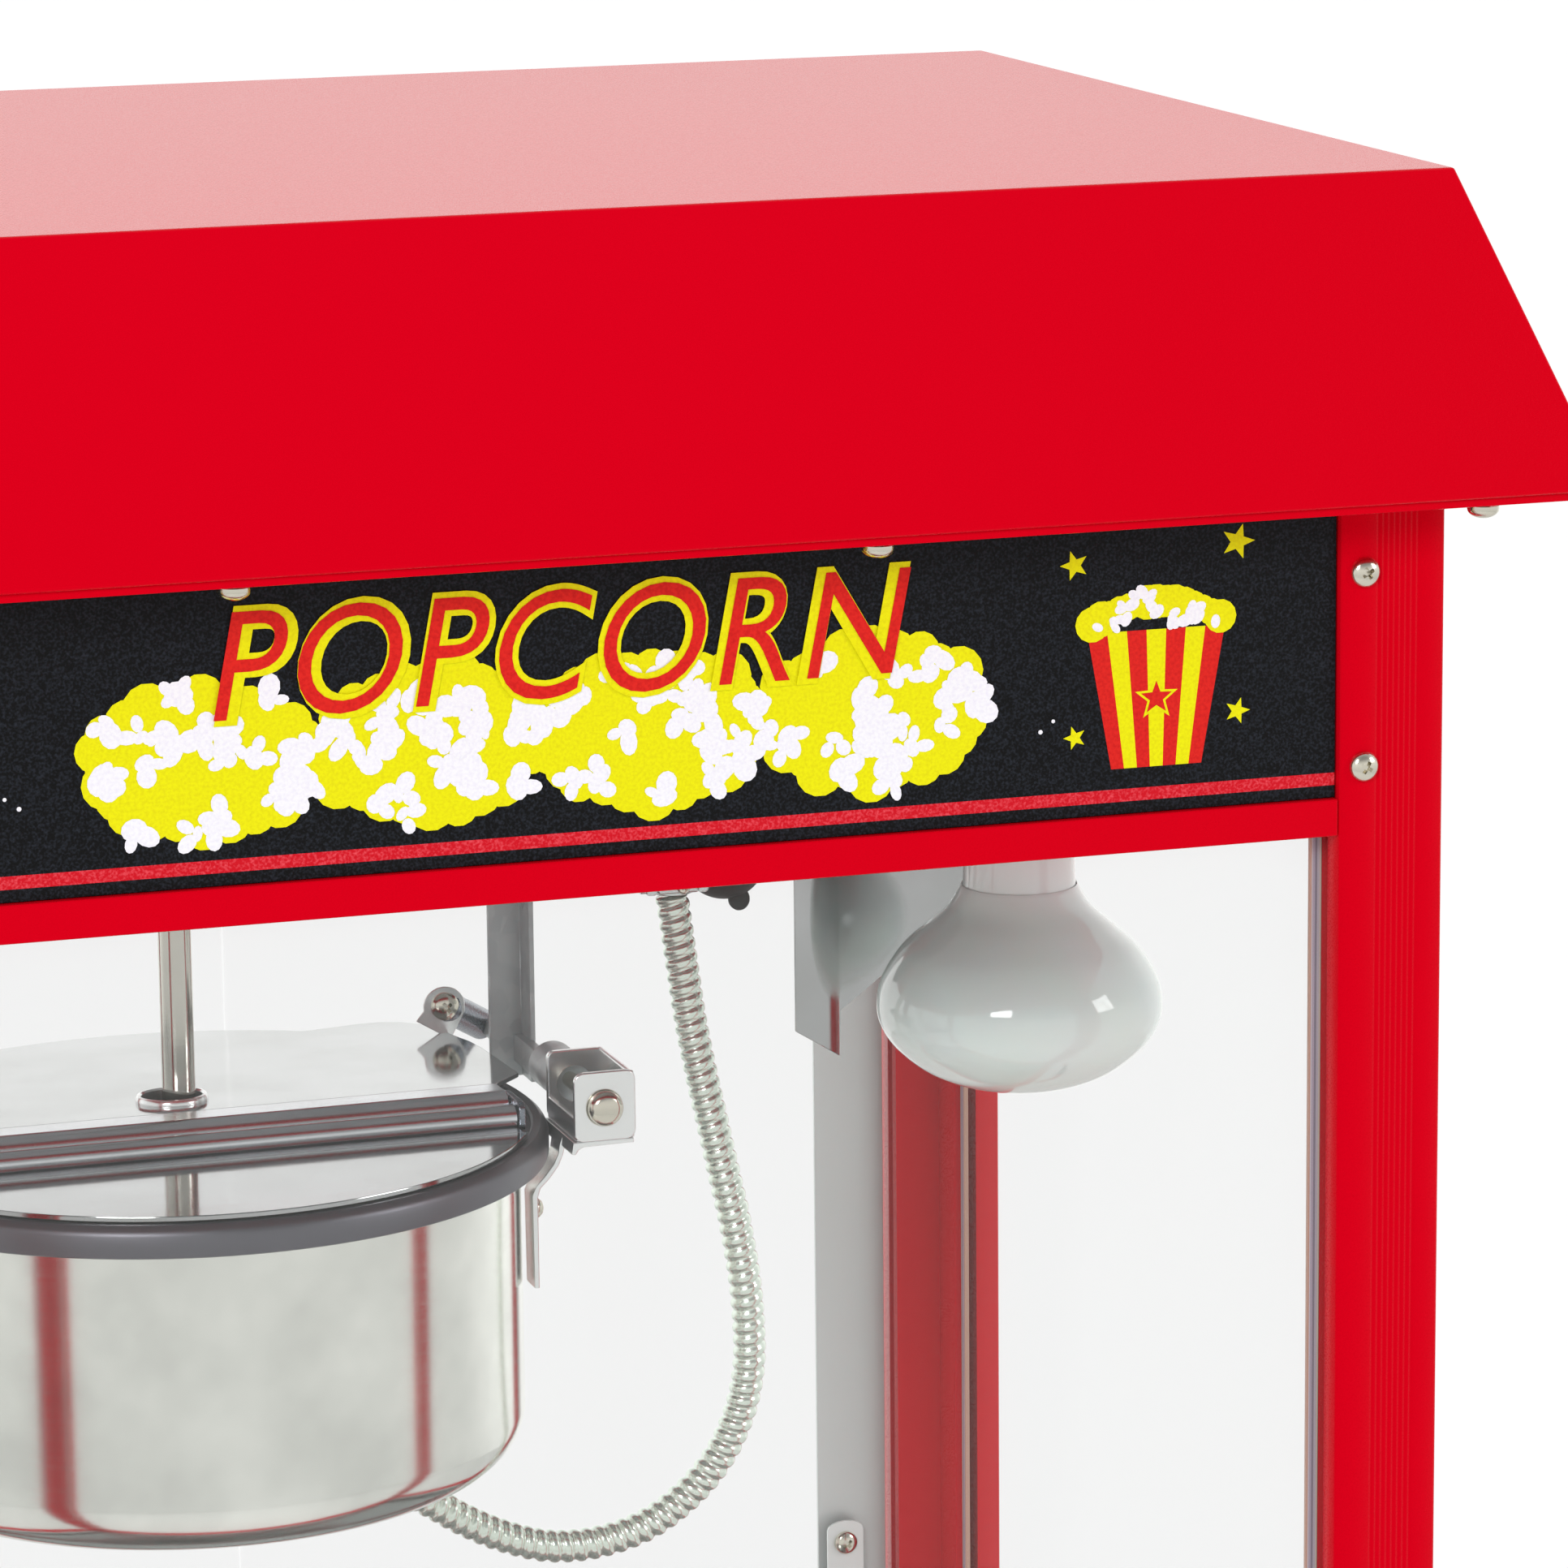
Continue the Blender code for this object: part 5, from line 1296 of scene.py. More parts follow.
def make_flaps():
    """The front flap, and the rear flap with its lifting ear, its hole and the bright lip round it."""
    front, rear = (-0.0545, EAVES - 0.1819), (-0.0455, EAVES - 0.1809)
    edge = front[0] - 0.0092
    reach = math.degrees(math.asin((edge - KETTLE[1]) / 0.0975))
    plan = arc_points(0.0975, -180 - reach, 0 + reach, 72)
    level = front[1] - 0.0035
    flap = extrude_plate("front_flap_sheet", plan, "Z", level, level + 0.0015, 0.00025)
    roll = roll_edge("front_flap_roll", front, 0.0035, 0.0020, edge, False)
    put_on(flap, LID_STEEL, "front_flap", "lid_front", slot="polished_steel")
    put_on(roll, ROLL_STEEL, "front_flap", slot="polished_steel")

    edge = rear[0] + 0.0092
    reach = math.degrees(math.asin((edge - KETTLE[1]) / 0.0965))
    plan = arc_points(0.0965, 180 - reach, 58, 60)
    ear = [(56, 0.0962), (54, 0.0985), (51.5, 0.1035), (49, 0.1095), (46.5, 0.1140), (43.5, 0.1162), (40.5, 0.1160)]
    ear += [(37.5, 0.1145), (35, 0.1125), (32, 0.1095), (29, 0.1072), (25, 0.1050)]
    for degrees, radius in ear:
        plan += arc_points(radius, degrees, degrees, 1)[:1]
    plan += [(0.0368, 0.0150), (0.0368, edge + 0.012), (KETTLE[0] + 0.086, edge)]
    level = rear[1] + 0.0030
    flap = extrude_outline("rear_flap_sheet", [(x, y, level) for x, y in plan], (0, 0, 0.0015))
    hole = (KETTLE[0] - 0.0020, KETTLE[1], level)
    profile = [(0, -0.01), (0.0086, -0.01), (0.0086, 0.01), (0, 0.01)]
    cut_away(flap, turn_on_lathe("hole", profile, hole, 64))
    round_edges(flap, 0.00025, 2, 40)
    profile = [(0.0084, 0.0002), (0.0086, -0.0006), (0.0094, -0.0006), (0.0101, 0.0014), (0.0100, 0.0026)]
    profile += [(0.0096, 0.0033), (0.0090, 0.0034), (0.0085, 0.0029)]
    lip = turn_on_lathe("flap_lip", [*profile, profile[0]], hole, 72)
    roll = roll_edge("rear_flap_roll", rear, 0.0045, 0.0030, edge, True)
    hinge = Matrix.Translation((KETTLE[0], *rear))
    tilt = hinge @ Matrix.Rotation(math.radians(-2.7), 4, "X") @ hinge.inverted()
    for piece in (flap, lip, roll):
        piece.data.transform(tilt)
    put_on(flap, LID_STEEL, "rear_flap", "lid_rear", slot="polished_steel")
    put_on(lip, ZINC, "rear_flap", slot="polished_steel")
    put_on(roll, ROLL_STEEL, "rear_flap", slot="polished_steel")

    ring_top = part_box("kettle_rim")[1].z
    right, left = KETTLE[0] + 0.0863, KETTLE[0] - 0.0863
    rods = []
    for radius, (y, z) in ((0.0019, front), (0.0029, rear)):
        rods.append(bar_between("rod", radius, (left - 0.0012, y, z), (right + 0.0012, y, z), 40))
    put_on(join_pieces("flap_rods", rods), ZINC, "kettle", "lid_bracket", slot="zinc_steel")
    tabs = []
    for x in (left - 0.0018, right):
        outline = rounded_rectangle((-0.0585, ring_top + 0.0002), (-0.0405, ring_top + 0.0085), 0.0024)
        tabs.append(extrude_plate("tab", outline, "X", x, x + 0.0018))
    put_on(join_pieces("flap_end_tabs", tabs), GREY_STEEL, "kettle", slot="dark_steel")


def bend_clevis():
    """The clevis round the pin, the shelf under it, and the strap down the pot's side with a domed rivet."""
    low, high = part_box("kettle_clevis")
    right, left, top, foot = high.x, 0.0420, high.z, EAVES - 0.1890
    front, back = low.y, high.y
    bore = [(0, -0.02), (0.0050, -0.02), (0.0050, 0.06), (0, 0.06)]
    plate = extrude_outline(
        "cheek",
        [(x, front, z) for x, z in rounded_rectangle((left, foot), (right, top + 0.0006), 0.0028)],
        (0, 0.0016, 0),
    )
    cut_away(plate, turn_on_lathe("bore", bore, (PIN_X, front, PIN_Z), 40, "Y"))
    round_edges(plate, 0.0004, 3, 40)
    rear = extrude_outline(
        "rear_cheek",
        [(x, back - 0.002, z) for x, z in rounded_rectangle((left + 0.0008, foot), (right - 0.0003, top), 0.0020)],
        (0, 0.002, 0),
    )
    cut_away(rear, turn_on_lathe("bore", bore, (PIN_X, front, PIN_Z), 40, "Y"))
    round_edges(rear, 0.0004, 2, 40)
    web = block("web", (right - 0.002, front + 0.0008, foot), (right - 0.0001, back - 0.0002, top), 0.0007, 3)
    rail = block("rail", (left + 0.0008, front + 0.0012, foot), (left + 0.0026, back - 0.0012, foot + 0.0062), 0.0005)
    bends = [(right - 0.0004, foot), (right - 0.0004, foot - 0.0014), (0.0448, foot - 0.0016)]
    bends += [(0.0434, foot - 0.0022), (0.0424, foot - 0.0036), (0.0412, foot - 0.0034), (0.0418, foot)]
    shelf = extrude_outline("shelf", [(x, front + 0.0008, z) for x, z in bends], (0, back - front - 0.002, 0))
    round_edges(shelf, 0.0003, 2, 40)
    bends = [(0.0436, foot - 0.0014), (0.0424, foot - 0.0036), (0.0418, foot - 0.0060), (0.0405, foot - 0.0090)]
    bends += [(0.0378, foot - 0.0125), (0.0352, foot - 0.0150), (0.0344, foot - 0.0175), (0.0344, EAVES - 0.2325)]
    bends += [(0.0330, EAVES - 0.2325), (0.0328, foot - 0.0170), (0.0340, foot - 0.0142), (0.0365, foot - 0.0116)]
    bends += [(0.0391, foot - 0.0084), (0.0404, foot - 0.0056), (0.0408, foot - 0.0030), (0.0416, foot - 0.0008)]
    strap = extrude_outline("strap", [(x, -0.0508, z) for x, z in bends], (0, 0.0086, 0))
    round_edges(strap, 0.0003, 2, 40)
    put_on(join_pieces("bent_clevis", [plate, rear, web, rail, shelf, strap]), ZINC, "kettle", "kettle_clevis",
           slot="zinc_steel")
    rivet = turn_on_lathe(
        "strap_rivet",
        [(0, -0.001), (0.0030, -0.001), (0.0031, 0), (0.0028, 0.0010), (0.0019, 0.0020), (0.0010, 0.0024), (0, 0.0025)],
        (0.0344, -0.0465, EAVES - 0.2105),
        32,
        "X",
    )
    put_on(rivet, NICKEL, "kettle", slot="chrome")


def fit_stirrer():
    """The slotted shaft with its drive head and two arms bent up at their tips."""
    low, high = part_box("agitator")
    foot, top, radius, head = low.z, high.z, 0.0046, 0.0075
    profile = [(0, foot), (radius - 0.0004, foot), (radius, foot + 0.0004), (radius, top - 0.014)]
    profile += [(head - 0.0005, top - 0.0122), (head, top - 0.0117), (head, top - 0.0005), (head - 0.0005, top)]
    shaft = turn_on_lathe("ground_shaft", [*profile, (0, top)], KETTLE, 56)
    slot = block("slot", (-0.069, -0.0222, top - 0.007), (-0.049, -0.0178, top + 0.005), 0)
    cut_away(shaft, slot)
    round_edges(shaft, 0.0002, 1, 40)
    put_on(shaft, SHAFT_STEEL, "stirrer", "agitator", slot="polished_steel")
    level, deep = foot + 0.0005, 0.0065
    arms = []
    for side in (-1, 1):
        outline = [(0, level), (side * 0.0760, level), (side * 0.0780, level + 0.0020), (side * 0.0780, level + deep)]
        outline += [(side * 0.0740, level + deep), (side * 0.0715, level + 0.0042), (0, level + 0.0042)]
        arm = extrude_plate("arm", [(KETTLE[0] + x, z) for x, z in outline], "Y", -0.0228, -0.0172, 0.0004)
        arms.append(arm)
    put_on(join_pieces("stirring_arms", arms), SHAFT_STEEL, "stirrer", slot="polished_steel")


def fit_handle():
    """The lever with its grooved grip, and the terminal box with its conduit gland and screws."""
    lever = soft_copy("plated_lever", "kettle_handle", 0.0004, 1)
    put_on(lever, ZINC, "kettle", "kettle_handle", slot="zinc_steel")
    low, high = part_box("handle_grip")
    middle, length = (low + high) / 2, high.y - low.y
    profile = [(0, 0), (0.0085, 0), (0.0094, 0.0010)]
    for groove in range(6):
        start = 0.010 + 0.0062 * groove
        profile += [(0.0108, start), (0.0110, start + 0.0012), (0.0110, start + 0.0040), (0.0103, start + 0.0050)]
    profile += [(0.0109, 0.0500), (0.0096, 0.0560), (0.0060, 0.0605), (0, length)]
    grip = turn_on_lathe("grooved_grip", profile, (middle.x, low.y, middle.z), 48, "Y")
    put_on(grip, BLACK, "kettle", "handle_grip", slot="black_plastic")
    low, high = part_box("terminal_box")
    case = block("pressed_terminal_box", low, high, 0.0016, 3)
    put_on(case, POT_STEEL, "kettle", "terminal_box", slot="polished_steel")
    master = make_screw_head(0.0030, 0.0018)
    spots = [(low.x + 0.006, low.y + 0.006), (high.x - 0.006, high.y - 0.006)]
    heads = [copy_at(master, "box_screw", facing((x, y, low.z), (0, 0, -1), 25)) for x, y in spots]
    bpy.data.objects.remove(master)
    put_on(join_pieces("terminal_box_screws", heads), NICKEL, "kettle", slot="chrome")
    gland_at = (high.x, -0.017, EAVES - 0.2890)
    profile = [(0, 0), (0.0062, 0), (0.0062, 0.0016), (0.0054, 0.0021), (0, 0.0021)]
    gland = turn_on_lathe("conduit_gland", profile, gland_at, 40, "X")
    put_on(gland, ZINC, "kettle", slot="zinc_steel")


spin_pot()
make_flaps()
bend_clevis()
fit_stirrer()
fit_handle()

# Heat lamp.
# An opal reflector bulb with a mushroom head, screwed into a glazed ceramic holder under the deck, and a folded
# screen of polished sheet beside it.

LAMP = (0.173, -0.059, 0.0)


def opal_glass():
    """Opal glass: grey-white and glossy, paler towards the crown and greyer towards the neck under the deck, as painted
    shade.
    """
    made, tree, shader = new_material("opal_lamp_glass", "#C4C8C9", 0.07, 0.0, IOR=1.5, Coat_Weight=0.5)
    shader.inputs["Coat Roughness"].default_value = 0.03
    place = add_node(tree, "ShaderNodeTexCoord")
    parts = add_node(tree, "ShaderNodeSeparateXYZ", None, {"Vector": place.outputs["Object"]})
    level = add_node(
        tree,
        "ShaderNodeMapRange",
        {"From Min": EAVES - 0.186, "From Max": EAVES - 0.120},
        {"Value": parts.outputs["Z"]},
    )
    ramp = add_node(tree, "ShaderNodeValToRGB", None, {"Fac": level.outputs["Result"]})
    # Painted shade: the ramp greys the glass from the crown up towards the neck under the deck.
    stops = [(0.0, "#F8FFF9"), (0.22, "#F2FFFA"), (0.5, "#E2F4F1"), (0.8, "#E4F4F1"), (1.0, "#E0F0ED")]
    for number, (spot, colour) in enumerate(stops):
        stop = ramp.color_ramp.elements[0] if number == 0 else ramp.color_ramp.elements.new(spot)
        stop.position, stop.color = spot, srgb(colour)
    ramp.color_ramp.elements.remove(ramp.color_ramp.elements[-1])
    cloud = add_node(tree, "ShaderNodeTexNoise", {"Scale": 60.0, "Detail": 2.0}, {"Vector": place.outputs["Object"]})
    mixed = add_node(
        tree,
        "ShaderNodeMix",
        {"data_type": "RGBA", "blend_type": "MULTIPLY", 0: 0.06},
        {6: ramp.outputs["Color"], 7: cloud.outputs["Color"]},
    )
    tree.links.new(mixed.outputs[2], shader.inputs["Base Color"])
    return made


def glazed_ceramic():
    """White glazed ceramic, faintly mottled every 6 mm."""
    made, tree, shader = new_material("glazed_ceramic", "#ECEAE4", 0.12)
    place = add_node(tree, "ShaderNodeTexCoord")
    mottle = add_node(tree, "ShaderNodeTexNoise", {"Scale": 170.0}, {"Vector": place.outputs["Object"]})
    rough = add_node(tree, "ShaderNodeMapRange", {"To Min": 0.08, "To Max": 0.18}, {"Value": mottle.outputs["Fac"]})
    tree.links.new(rough.outputs["Result"], shader.inputs["Roughness"])
    return made


def blow_bulb():
    """The bulb's profile smoothed through its main points, its threaded cap, and the holder."""
    crown, widest, neck = EAVES - 0.185, EAVES - 0.160, EAVES - 0.124
    cap_foot, cap_top = EAVES - 0.088, EAVES - 0.074
    marks = [(0, crown), (0.0140, crown + 0.0012), (0.0260, crown + 0.0055), (0.0350, crown + 0.0125)]
    marks += [(0.0392, crown + 0.0190), (0.0400, widest), (0.0385, widest + 0.0065), (0.0335, widest + 0.0145)]
    marks += [(0.0265, widest + 0.0210), (0.0200, widest + 0.0270), (0.0165, widest + 0.0330), (0.0157, neck)]
    marks += [(0.0150, cap_foot - 0.002), (0.0135, cap_foot)]
    curve = smooth_route([(radius, 0, level) for radius, level in marks], 6)
    profile = [(max(point.x, 0.0), point.z) for point in curve] + [(0.0120, cap_foot + 0.0004), (0, cap_foot + 0.0004)]
    profile[0] = (0, crown)
    bulb = turn_on_lathe("opal_bulb", profile, LAMP, 112)
    put_on(bulb, opal_glass(), "cabinet", "lamp_bulb", slot="lamp_glass")
    profile = [(0, cap_foot)]
    for turn in range(5):
        level = cap_foot + 0.0004 + 0.0027 * turn
        profile += [(0.0124, level), (0.0133, level + 0.0009), (0.0124, level + 0.0018)]
    cap = turn_on_lathe("bulb_cap", [*profile, (0.0118, cap_top), (0, cap_top)], LAMP, 48)
    put_on(cap, NICKEL, "cabinet", slot="chrome")
    low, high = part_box("lamp_holder")
    profile = [(0.0138, low.z), (0.0190, low.z), (0.0200, low.z + 0.0010), (0.0200, EAVES - 0.0405)]
    profile += [(0.0206, EAVES - 0.0388), (0.0254, EAVES - 0.0346), (0.0260, EAVES - 0.0335), (0.0260, high.z)]
    profile += [(0, high.z), (0, cap_top + 0.0003), (0.0138, cap_top + 0.0003)]
    holder = turn_on_lathe("ceramic_holder", [*profile, profile[0]], LAMP, 72)
    put_on(holder, glazed_ceramic(), "cabinet", "lamp_holder", slot="white_ceramic")


def fold_screen():
    """The polished screen and the two screws in its foot."""
    screen = soft_copy("folded_lamp_screen", "lamp_screen", 0.0002, 1)
    put_on(screen, LID_STEEL, "cabinet", "lamp_screen", slot="polished_steel")
    master = make_screw_head(0.0034, 0.0020)
    heads = [copy_at(master, "screw", facing((x, 0.014, CEILING - 0.0015), (0, 0, -1), 40)) for x in (0.157, 0.178)]
    bpy.data.objects.remove(master)
    put_on(join_pieces("screen_screws", heads), NICKEL, "cabinet", slot="chrome")


blow_bulb()
fold_screen()

# Conduit connector and socket cap.
# A die-cast connector grips the conduit: a knurled nut over a two-part clamp with ears, drawn together by a screw.
# Beside it a black rubber cap with a pull tab closes the kettle's socket.


def cast_zinc():
    """Die-cast zinc, barrel polished: bright, with a broken texture of about 0.8 mm."""
    made, tree, shader = new_material("die_cast_zinc", "#D3D7D6", 0.2, 1.0)
    place = add_node(tree, "ShaderNodeTexCoord")
    skin = add_node(tree, "ShaderNodeTexNoise", {"Scale": 1300.0, "Detail": 3.0}, {"Vector": place.outputs["Object"]})
    dent = add_node(tree, "ShaderNodeBump", {"Strength": 0.5, "Distance": 0.0002}, {"Height": skin.outputs["Fac"]})
    tree.links.new(dent.outputs["Normal"], shader.inputs["Normal"])
    return made


def black_rubber():
    """Moulded black rubber: matt, a touch greenish, with bloom in patches of about 8 mm."""
    made, tree, shader = new_material("black_rubber", "#17191A", 0.6)
    place = add_node(tree, "ShaderNodeTexCoord")
    bloom = add_node(tree, "ShaderNodeTexNoise", {"Scale": 120.0, "Detail": 3.0}, {"Vector": place.outputs["Object"]})
    ramp = add_node(tree, "ShaderNodeValToRGB", None, {"Fac": bloom.outputs["Fac"]})
    ramp.color_ramp.elements[0].position, ramp.color_ramp.elements[0].color = 0.35, srgb("#141617")
    ramp.color_ramp.elements[1].position, ramp.color_ramp.elements[1].color = 0.75, srgb("#202325")
    tree.links.new(ramp.outputs["Color"], shader.inputs["Base Color"])
    return made


RUBBER = black_rubber()


def fit_connector():
    """The connector's body, knurled nut, clamp halves with their ears, clamp screw and its nut."""
    low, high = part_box("conduit_connector")
    x, y, foot = (low.x + high.x) / 2, (low.y + high.y) / 2, low.z
    metal = cast_zinc()
    profile = [(0.0056, foot), (0.0062, foot + 0.0003), (0.0062, foot + 0.0050), (0.0072, foot + 0.0058)]
    profile += [(0.0072, foot + 0.0078), (0.0064, foot + 0.0082), (0.0064, high.z), (0, high.z), (0, foot + 0.0070)]
    body = turn_on_lathe("body", [*profile, (0.0056, foot + 0.0070), profile[0]], (x, y, 0), 48)
    outline = []
    teeth = 30
    for tooth in range(teeth * 2):
        radius = 0.0085 if tooth % 2 == 0 else 0.0079
        angle = math.tau * (tooth + 0.5 * (tooth % 2)) / (teeth * 2)
        outline.append((x + radius * math.cos(angle), y + radius * math.sin(angle)))
    nut = extrude_plate("nut", outline, "Z", foot + 0.0084, foot + 0.0150, 0.0003, 1)
    ears = []
    for side in (-1, 1):
        reach = side * 0.0058
        near, far = sorted((reach, side * 0.0092))
        outline = rounded_rectangle((near, foot + 0.0006), (far, foot + 0.0056), 0.0012)
        ears.append(extrude_plate("ear", [(x + u, v) for u, v in outline], "Y", y - 0.0062, y - 0.0018, 0.0005))
    corner = (x + 0.0062, y - 0.0040, foot + 0.0050)
    saddle = block("saddle", (x - 0.0062, y - 0.0072, foot + 0.0008), corner, 0.0011, 3)
    put_on(join_pieces("conduit_clamp", [body, nut, *ears, saddle]), metal, "cabinet", "conduit_connector",
           slot="zinc_steel")
    level, front = foot + 0.0032, y - 0.0046
    thread = [(0, -0.0205)]
    for turn in range(14):
        start = -0.0204 + 0.0007 * turn
        thread += [(0.00085, start), (0.00098, start + 0.00035)]
    bolt = turn_on_lathe("bolt", [*thread, (0.00095, 0.006), (0, 0.006)], (0, 0, 0), 20, "X")
    bolt.data.transform(Matrix.Translation((x + 0.0070, front, level)))
    put_on(bolt, NICKEL, "cabinet", slot="chrome")
    outline = [(0.0022 * math.cos(math.tau * n / 6), 0.0022 * math.sin(math.tau * n / 6)) for n in range(6)]
    lock = extrude_plate("clamp_nut", [(front + u, level + v) for u, v in outline], "X", x - 0.0108, x - 0.0090, 0.0002)
    put_on(lock, metal, "cabinet", slot="zinc_steel")
    head = make_screw_head(0.0019, 0.0013)
    head.data.transform(facing((x + 0.0012, y - 0.0072, level - 0.0004), (0, -1, 0), 10))
    head.name = head.data.name = "saddle_screw"
    put_on(head, NICKEL, "cabinet", slot="chrome")


def fit_socket_cap():
    """The domed cap, with a round tab that hangs from its foot."""
    low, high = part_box("kettle_socket")
    x, y, foot = (low.x + high.x) / 2, (low.y + high.y) / 2, low.z
    profile = []
    for step in range(13):
        angle = math.radians(-90 + 90 * step / 12)
        profile.append((0.0119 * math.cos(angle), foot + 0.0112 + 0.0112 * math.sin(angle)))
    profile[0] = (0, foot)
    dome = turn_on_lathe("dome", [*profile, (0.0119, high.z), (0, high.z)], (x, y, 0), 72)
    tab = extrude_plate(
        "tab",
        [
            (x + 0.0032 + 0.0031 * math.cos(math.tau * n / 28), foot + 0.0003 + 0.0033 * math.sin(math.tau * n / 28))
            for n in range(28)
        ],
        "Y",
        y - 0.0050,
        y - 0.0028,
        0.0006,
        3,
    )
    put_on(join_pieces("rubber_socket_cap", [dome, tab]), RUBBER, "cabinet", "kettle_socket", slot="rubber")


fit_connector()
fit_socket_cap()

# Base, tray and drawer.
# A folded housing with the popcorn tray set into its top. Unpopped corn falls through the tray's holes to a drawer
# that slides out at the back, beside the power inlet.


def perforated_steel():
    """The tray's satin steel with round holes in rows 9 mm apart, painted near black: painted shade of the drawer under
    them.
    """
    made, tree, shader = new_material("perforated_tray_steel", "#BFC1C0", 0.24, 1.0)
    place = add_node(tree, "ShaderNodeTexCoord")
    flat = add_node(tree, "ShaderNodeMapping", {"Scale": (110, 110, 0)}, {"Vector": place.outputs["Object"]})
    holes = add_node(
        tree,
        "ShaderNodeTexVoronoi",
        {"voronoi_dimensions": "2D", "Scale": 1.0, "Randomness": 0.0},
        {"Vector": flat.outputs["Vector"]},
    )
    rim = add_node(
        tree, "ShaderNodeMapRange", {"From Min": 0.24, "From Max": 0.28}, {"Value": holes.outputs["Distance"]}
    )
    parts = add_node(tree, "ShaderNodeSeparateXYZ", None, {"Vector": place.outputs["Object"]})
    floor = add_node(
        tree, "ShaderNodeMath", {"operation": "GREATER_THAN", 1: DECK - 0.0155}, {0: parts.outputs["Z"]}
    )
    solid = add_node(
        tree, "ShaderNodeMath", {"operation": "MAXIMUM"}, {0: rim.outputs["Result"], 1: floor.outputs["Value"]}
    )
    # Painted shade: the holes are only painted, near black, for the shaded drawer seen through them.
    mixed = add_node(
        tree,
        "ShaderNodeMix",
        {"data_type": "RGBA", 6: srgb("#101012"), 7: srgb("#C0C2C1")},
        {0: solid.outputs["Value"]},
    )
    tree.links.new(mixed.outputs[2], shader.inputs["Base Color"])
    tree.links.new(solid.outputs["Value"], shader.inputs["Metallic"])
    return made


def build_base():
    """The housing, the tray, the drawer with a chromed knob cap, and the inlet with its pins and screws."""
    housing = soft_copy("folded_housing", "base_housing", 0.0016, 3)
    put_on(housing, RED, "cabinet", "base_housing", slot="red_powder_coat")
    tray = soft_copy("pressed_tray", "popcorn_tray", 0.0003, 1)
    put_on(tray, perforated_steel(), "cabinet", "popcorn_tray", slot="polished_steel")
    drawer = soft_copy("folded_drawer", "crumb_drawer", 0.0005)
    put_on(drawer, RED, "drawer", "crumb_drawer", slot="red_powder_coat")
    low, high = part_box("crumb_drawer")
    face = high.y
    profile = [(0, -0.0002), (0.0088, -0.0002), (0.0088, 0.0003), (0.0070, 0.0012), (0.0035, 0.0018), (0, 0.0020)]
    cap = turn_on_lathe("knob_cap", profile, (0, face, (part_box("base_housing")[0].z * 2 + 0.138) / 2), 48, "Y")
    put_on(cap, NICKEL, "drawer", slot="chrome")
    inlet = soft_copy("moulded_inlet", "power_inlet", 0.0007)
    put_on(inlet, BLACK, "cabinet", "power_inlet", slot="black_plastic")
    low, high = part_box("power_inlet")
    middle, level = (low.x + high.x) / 2, (low.z + high.z) / 2
    pins = []
    for along, rise in ((-0.0065, -0.0020), (0, 0.0020), (0.0065, -0.0020)):
        ends = (middle + along - 0.0010, low.y + 0.0008, level + rise - 0.0020)
        pins.append(block("pin", ends, (middle + along + 0.0010, high.y - 0.0012, level + rise + 0.0020), 0.0003))
    put_on(join_pieces("inlet_pins", pins), NICKEL, "cabinet", slot="chrome")
    master = make_screw_head(0.0030, 0.0018)
    heads = [copy_at(master, "inlet_screw", facing((x, high.y, high.z - 0.0035), (0, 1, 0), 33))
             for x in (low.x + 0.0035, high.x - 0.0035)]
    bpy.data.objects.remove(master)
    put_on(join_pieces("inlet_screws", heads), NICKEL, "cabinet", slot="chrome")


build_base()

# Rocker switches.
# Three black rockers for light, heat and motor in the rear band, each in a bezel, with a bar and a ring marked on.


def white_marking():
    """White pad-printed marking, with a slight grain of about 0.3 mm."""
    made, tree, shader = new_material("white_marking", "#E8E8E4", 0.5)
    place = add_node(tree, "ShaderNodeTexCoord")
    grain = add_node(tree, "ShaderNodeTexNoise", {"Scale": 3000.0}, {"Vector": place.outputs["Object"]})
    rough = add_node(tree, "ShaderNodeMapRange", {"To Min": 0.4, "To Max": 0.6}, {"Value": grain.outputs["Fac"]})
    tree.links.new(rough.outputs["Result"], shader.inputs["Roughness"])
    return made


def fit_rockers():
    """The rockers with their markings, and a bezel round each."""
    marking, bezels = white_marking(), []
    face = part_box("header_rear")[1].y - 0.0020
    for name in ("light", "heat", "motor"):
        rocker = soft_copy(f"moulded_rocker_{name}", f"switch_{name}", 0.0006)
        put_on(rocker, BLACK, f"{name}_rocker", f"switch_{name}", slot="black_plastic")
        low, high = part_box(f"switch_{name}")
        x, z = (low.x + high.x) / 2, (low.z + high.z) / 2
        bar = block("bar", (x - 0.0005, high.y - 0.0026, z + 0.0040), (x + 0.0005, high.y - 0.00245, z + 0.0085), 0)
        shape = [(0.0016, -0.0001), (0.0022, -0.0001), (0.0022, 0.0001), (0.0016, 0.0001), (0.0016, -0.0001)]
        ring = turn_on_lathe("ring", shape, (0, 0, 0), 28, "Y")
        lean = math.atan2(0.0025, 0.0120)
        ring.data.transform(Matrix.Translation((x, high.y - 0.0012, z - 0.0064)) @ Matrix.Rotation(lean, 4, "X"))
        marks = join_pieces(f"{name}_rocker_marks", [bar, ring])
        put_on(marks, marking, f"{name}_rocker", slot="black_plastic")
        hole = block("hole", (x - 0.0087, face - 0.02, z - 0.0137), (x + 0.0087, face + 0.02, z + 0.0137), 0)
        bezel = block("bezel", (x - 0.0110, face - 0.0002, z - 0.0160), (x + 0.0110, face + 0.0016, z + 0.0160), 0)
        bezels.append(round_edges(cut_away(bezel, hole), 0.0004))
    put_on(join_pieces("rocker_bezels", bezels), BLACK, "cabinet", slot="black_plastic")


fit_rockers()

# Cart.
# A sheet top on two welded frames of 25 mm square tube, with a lipped shelf, a bent push handle in a foam grip and
# two rubber feet at the right.


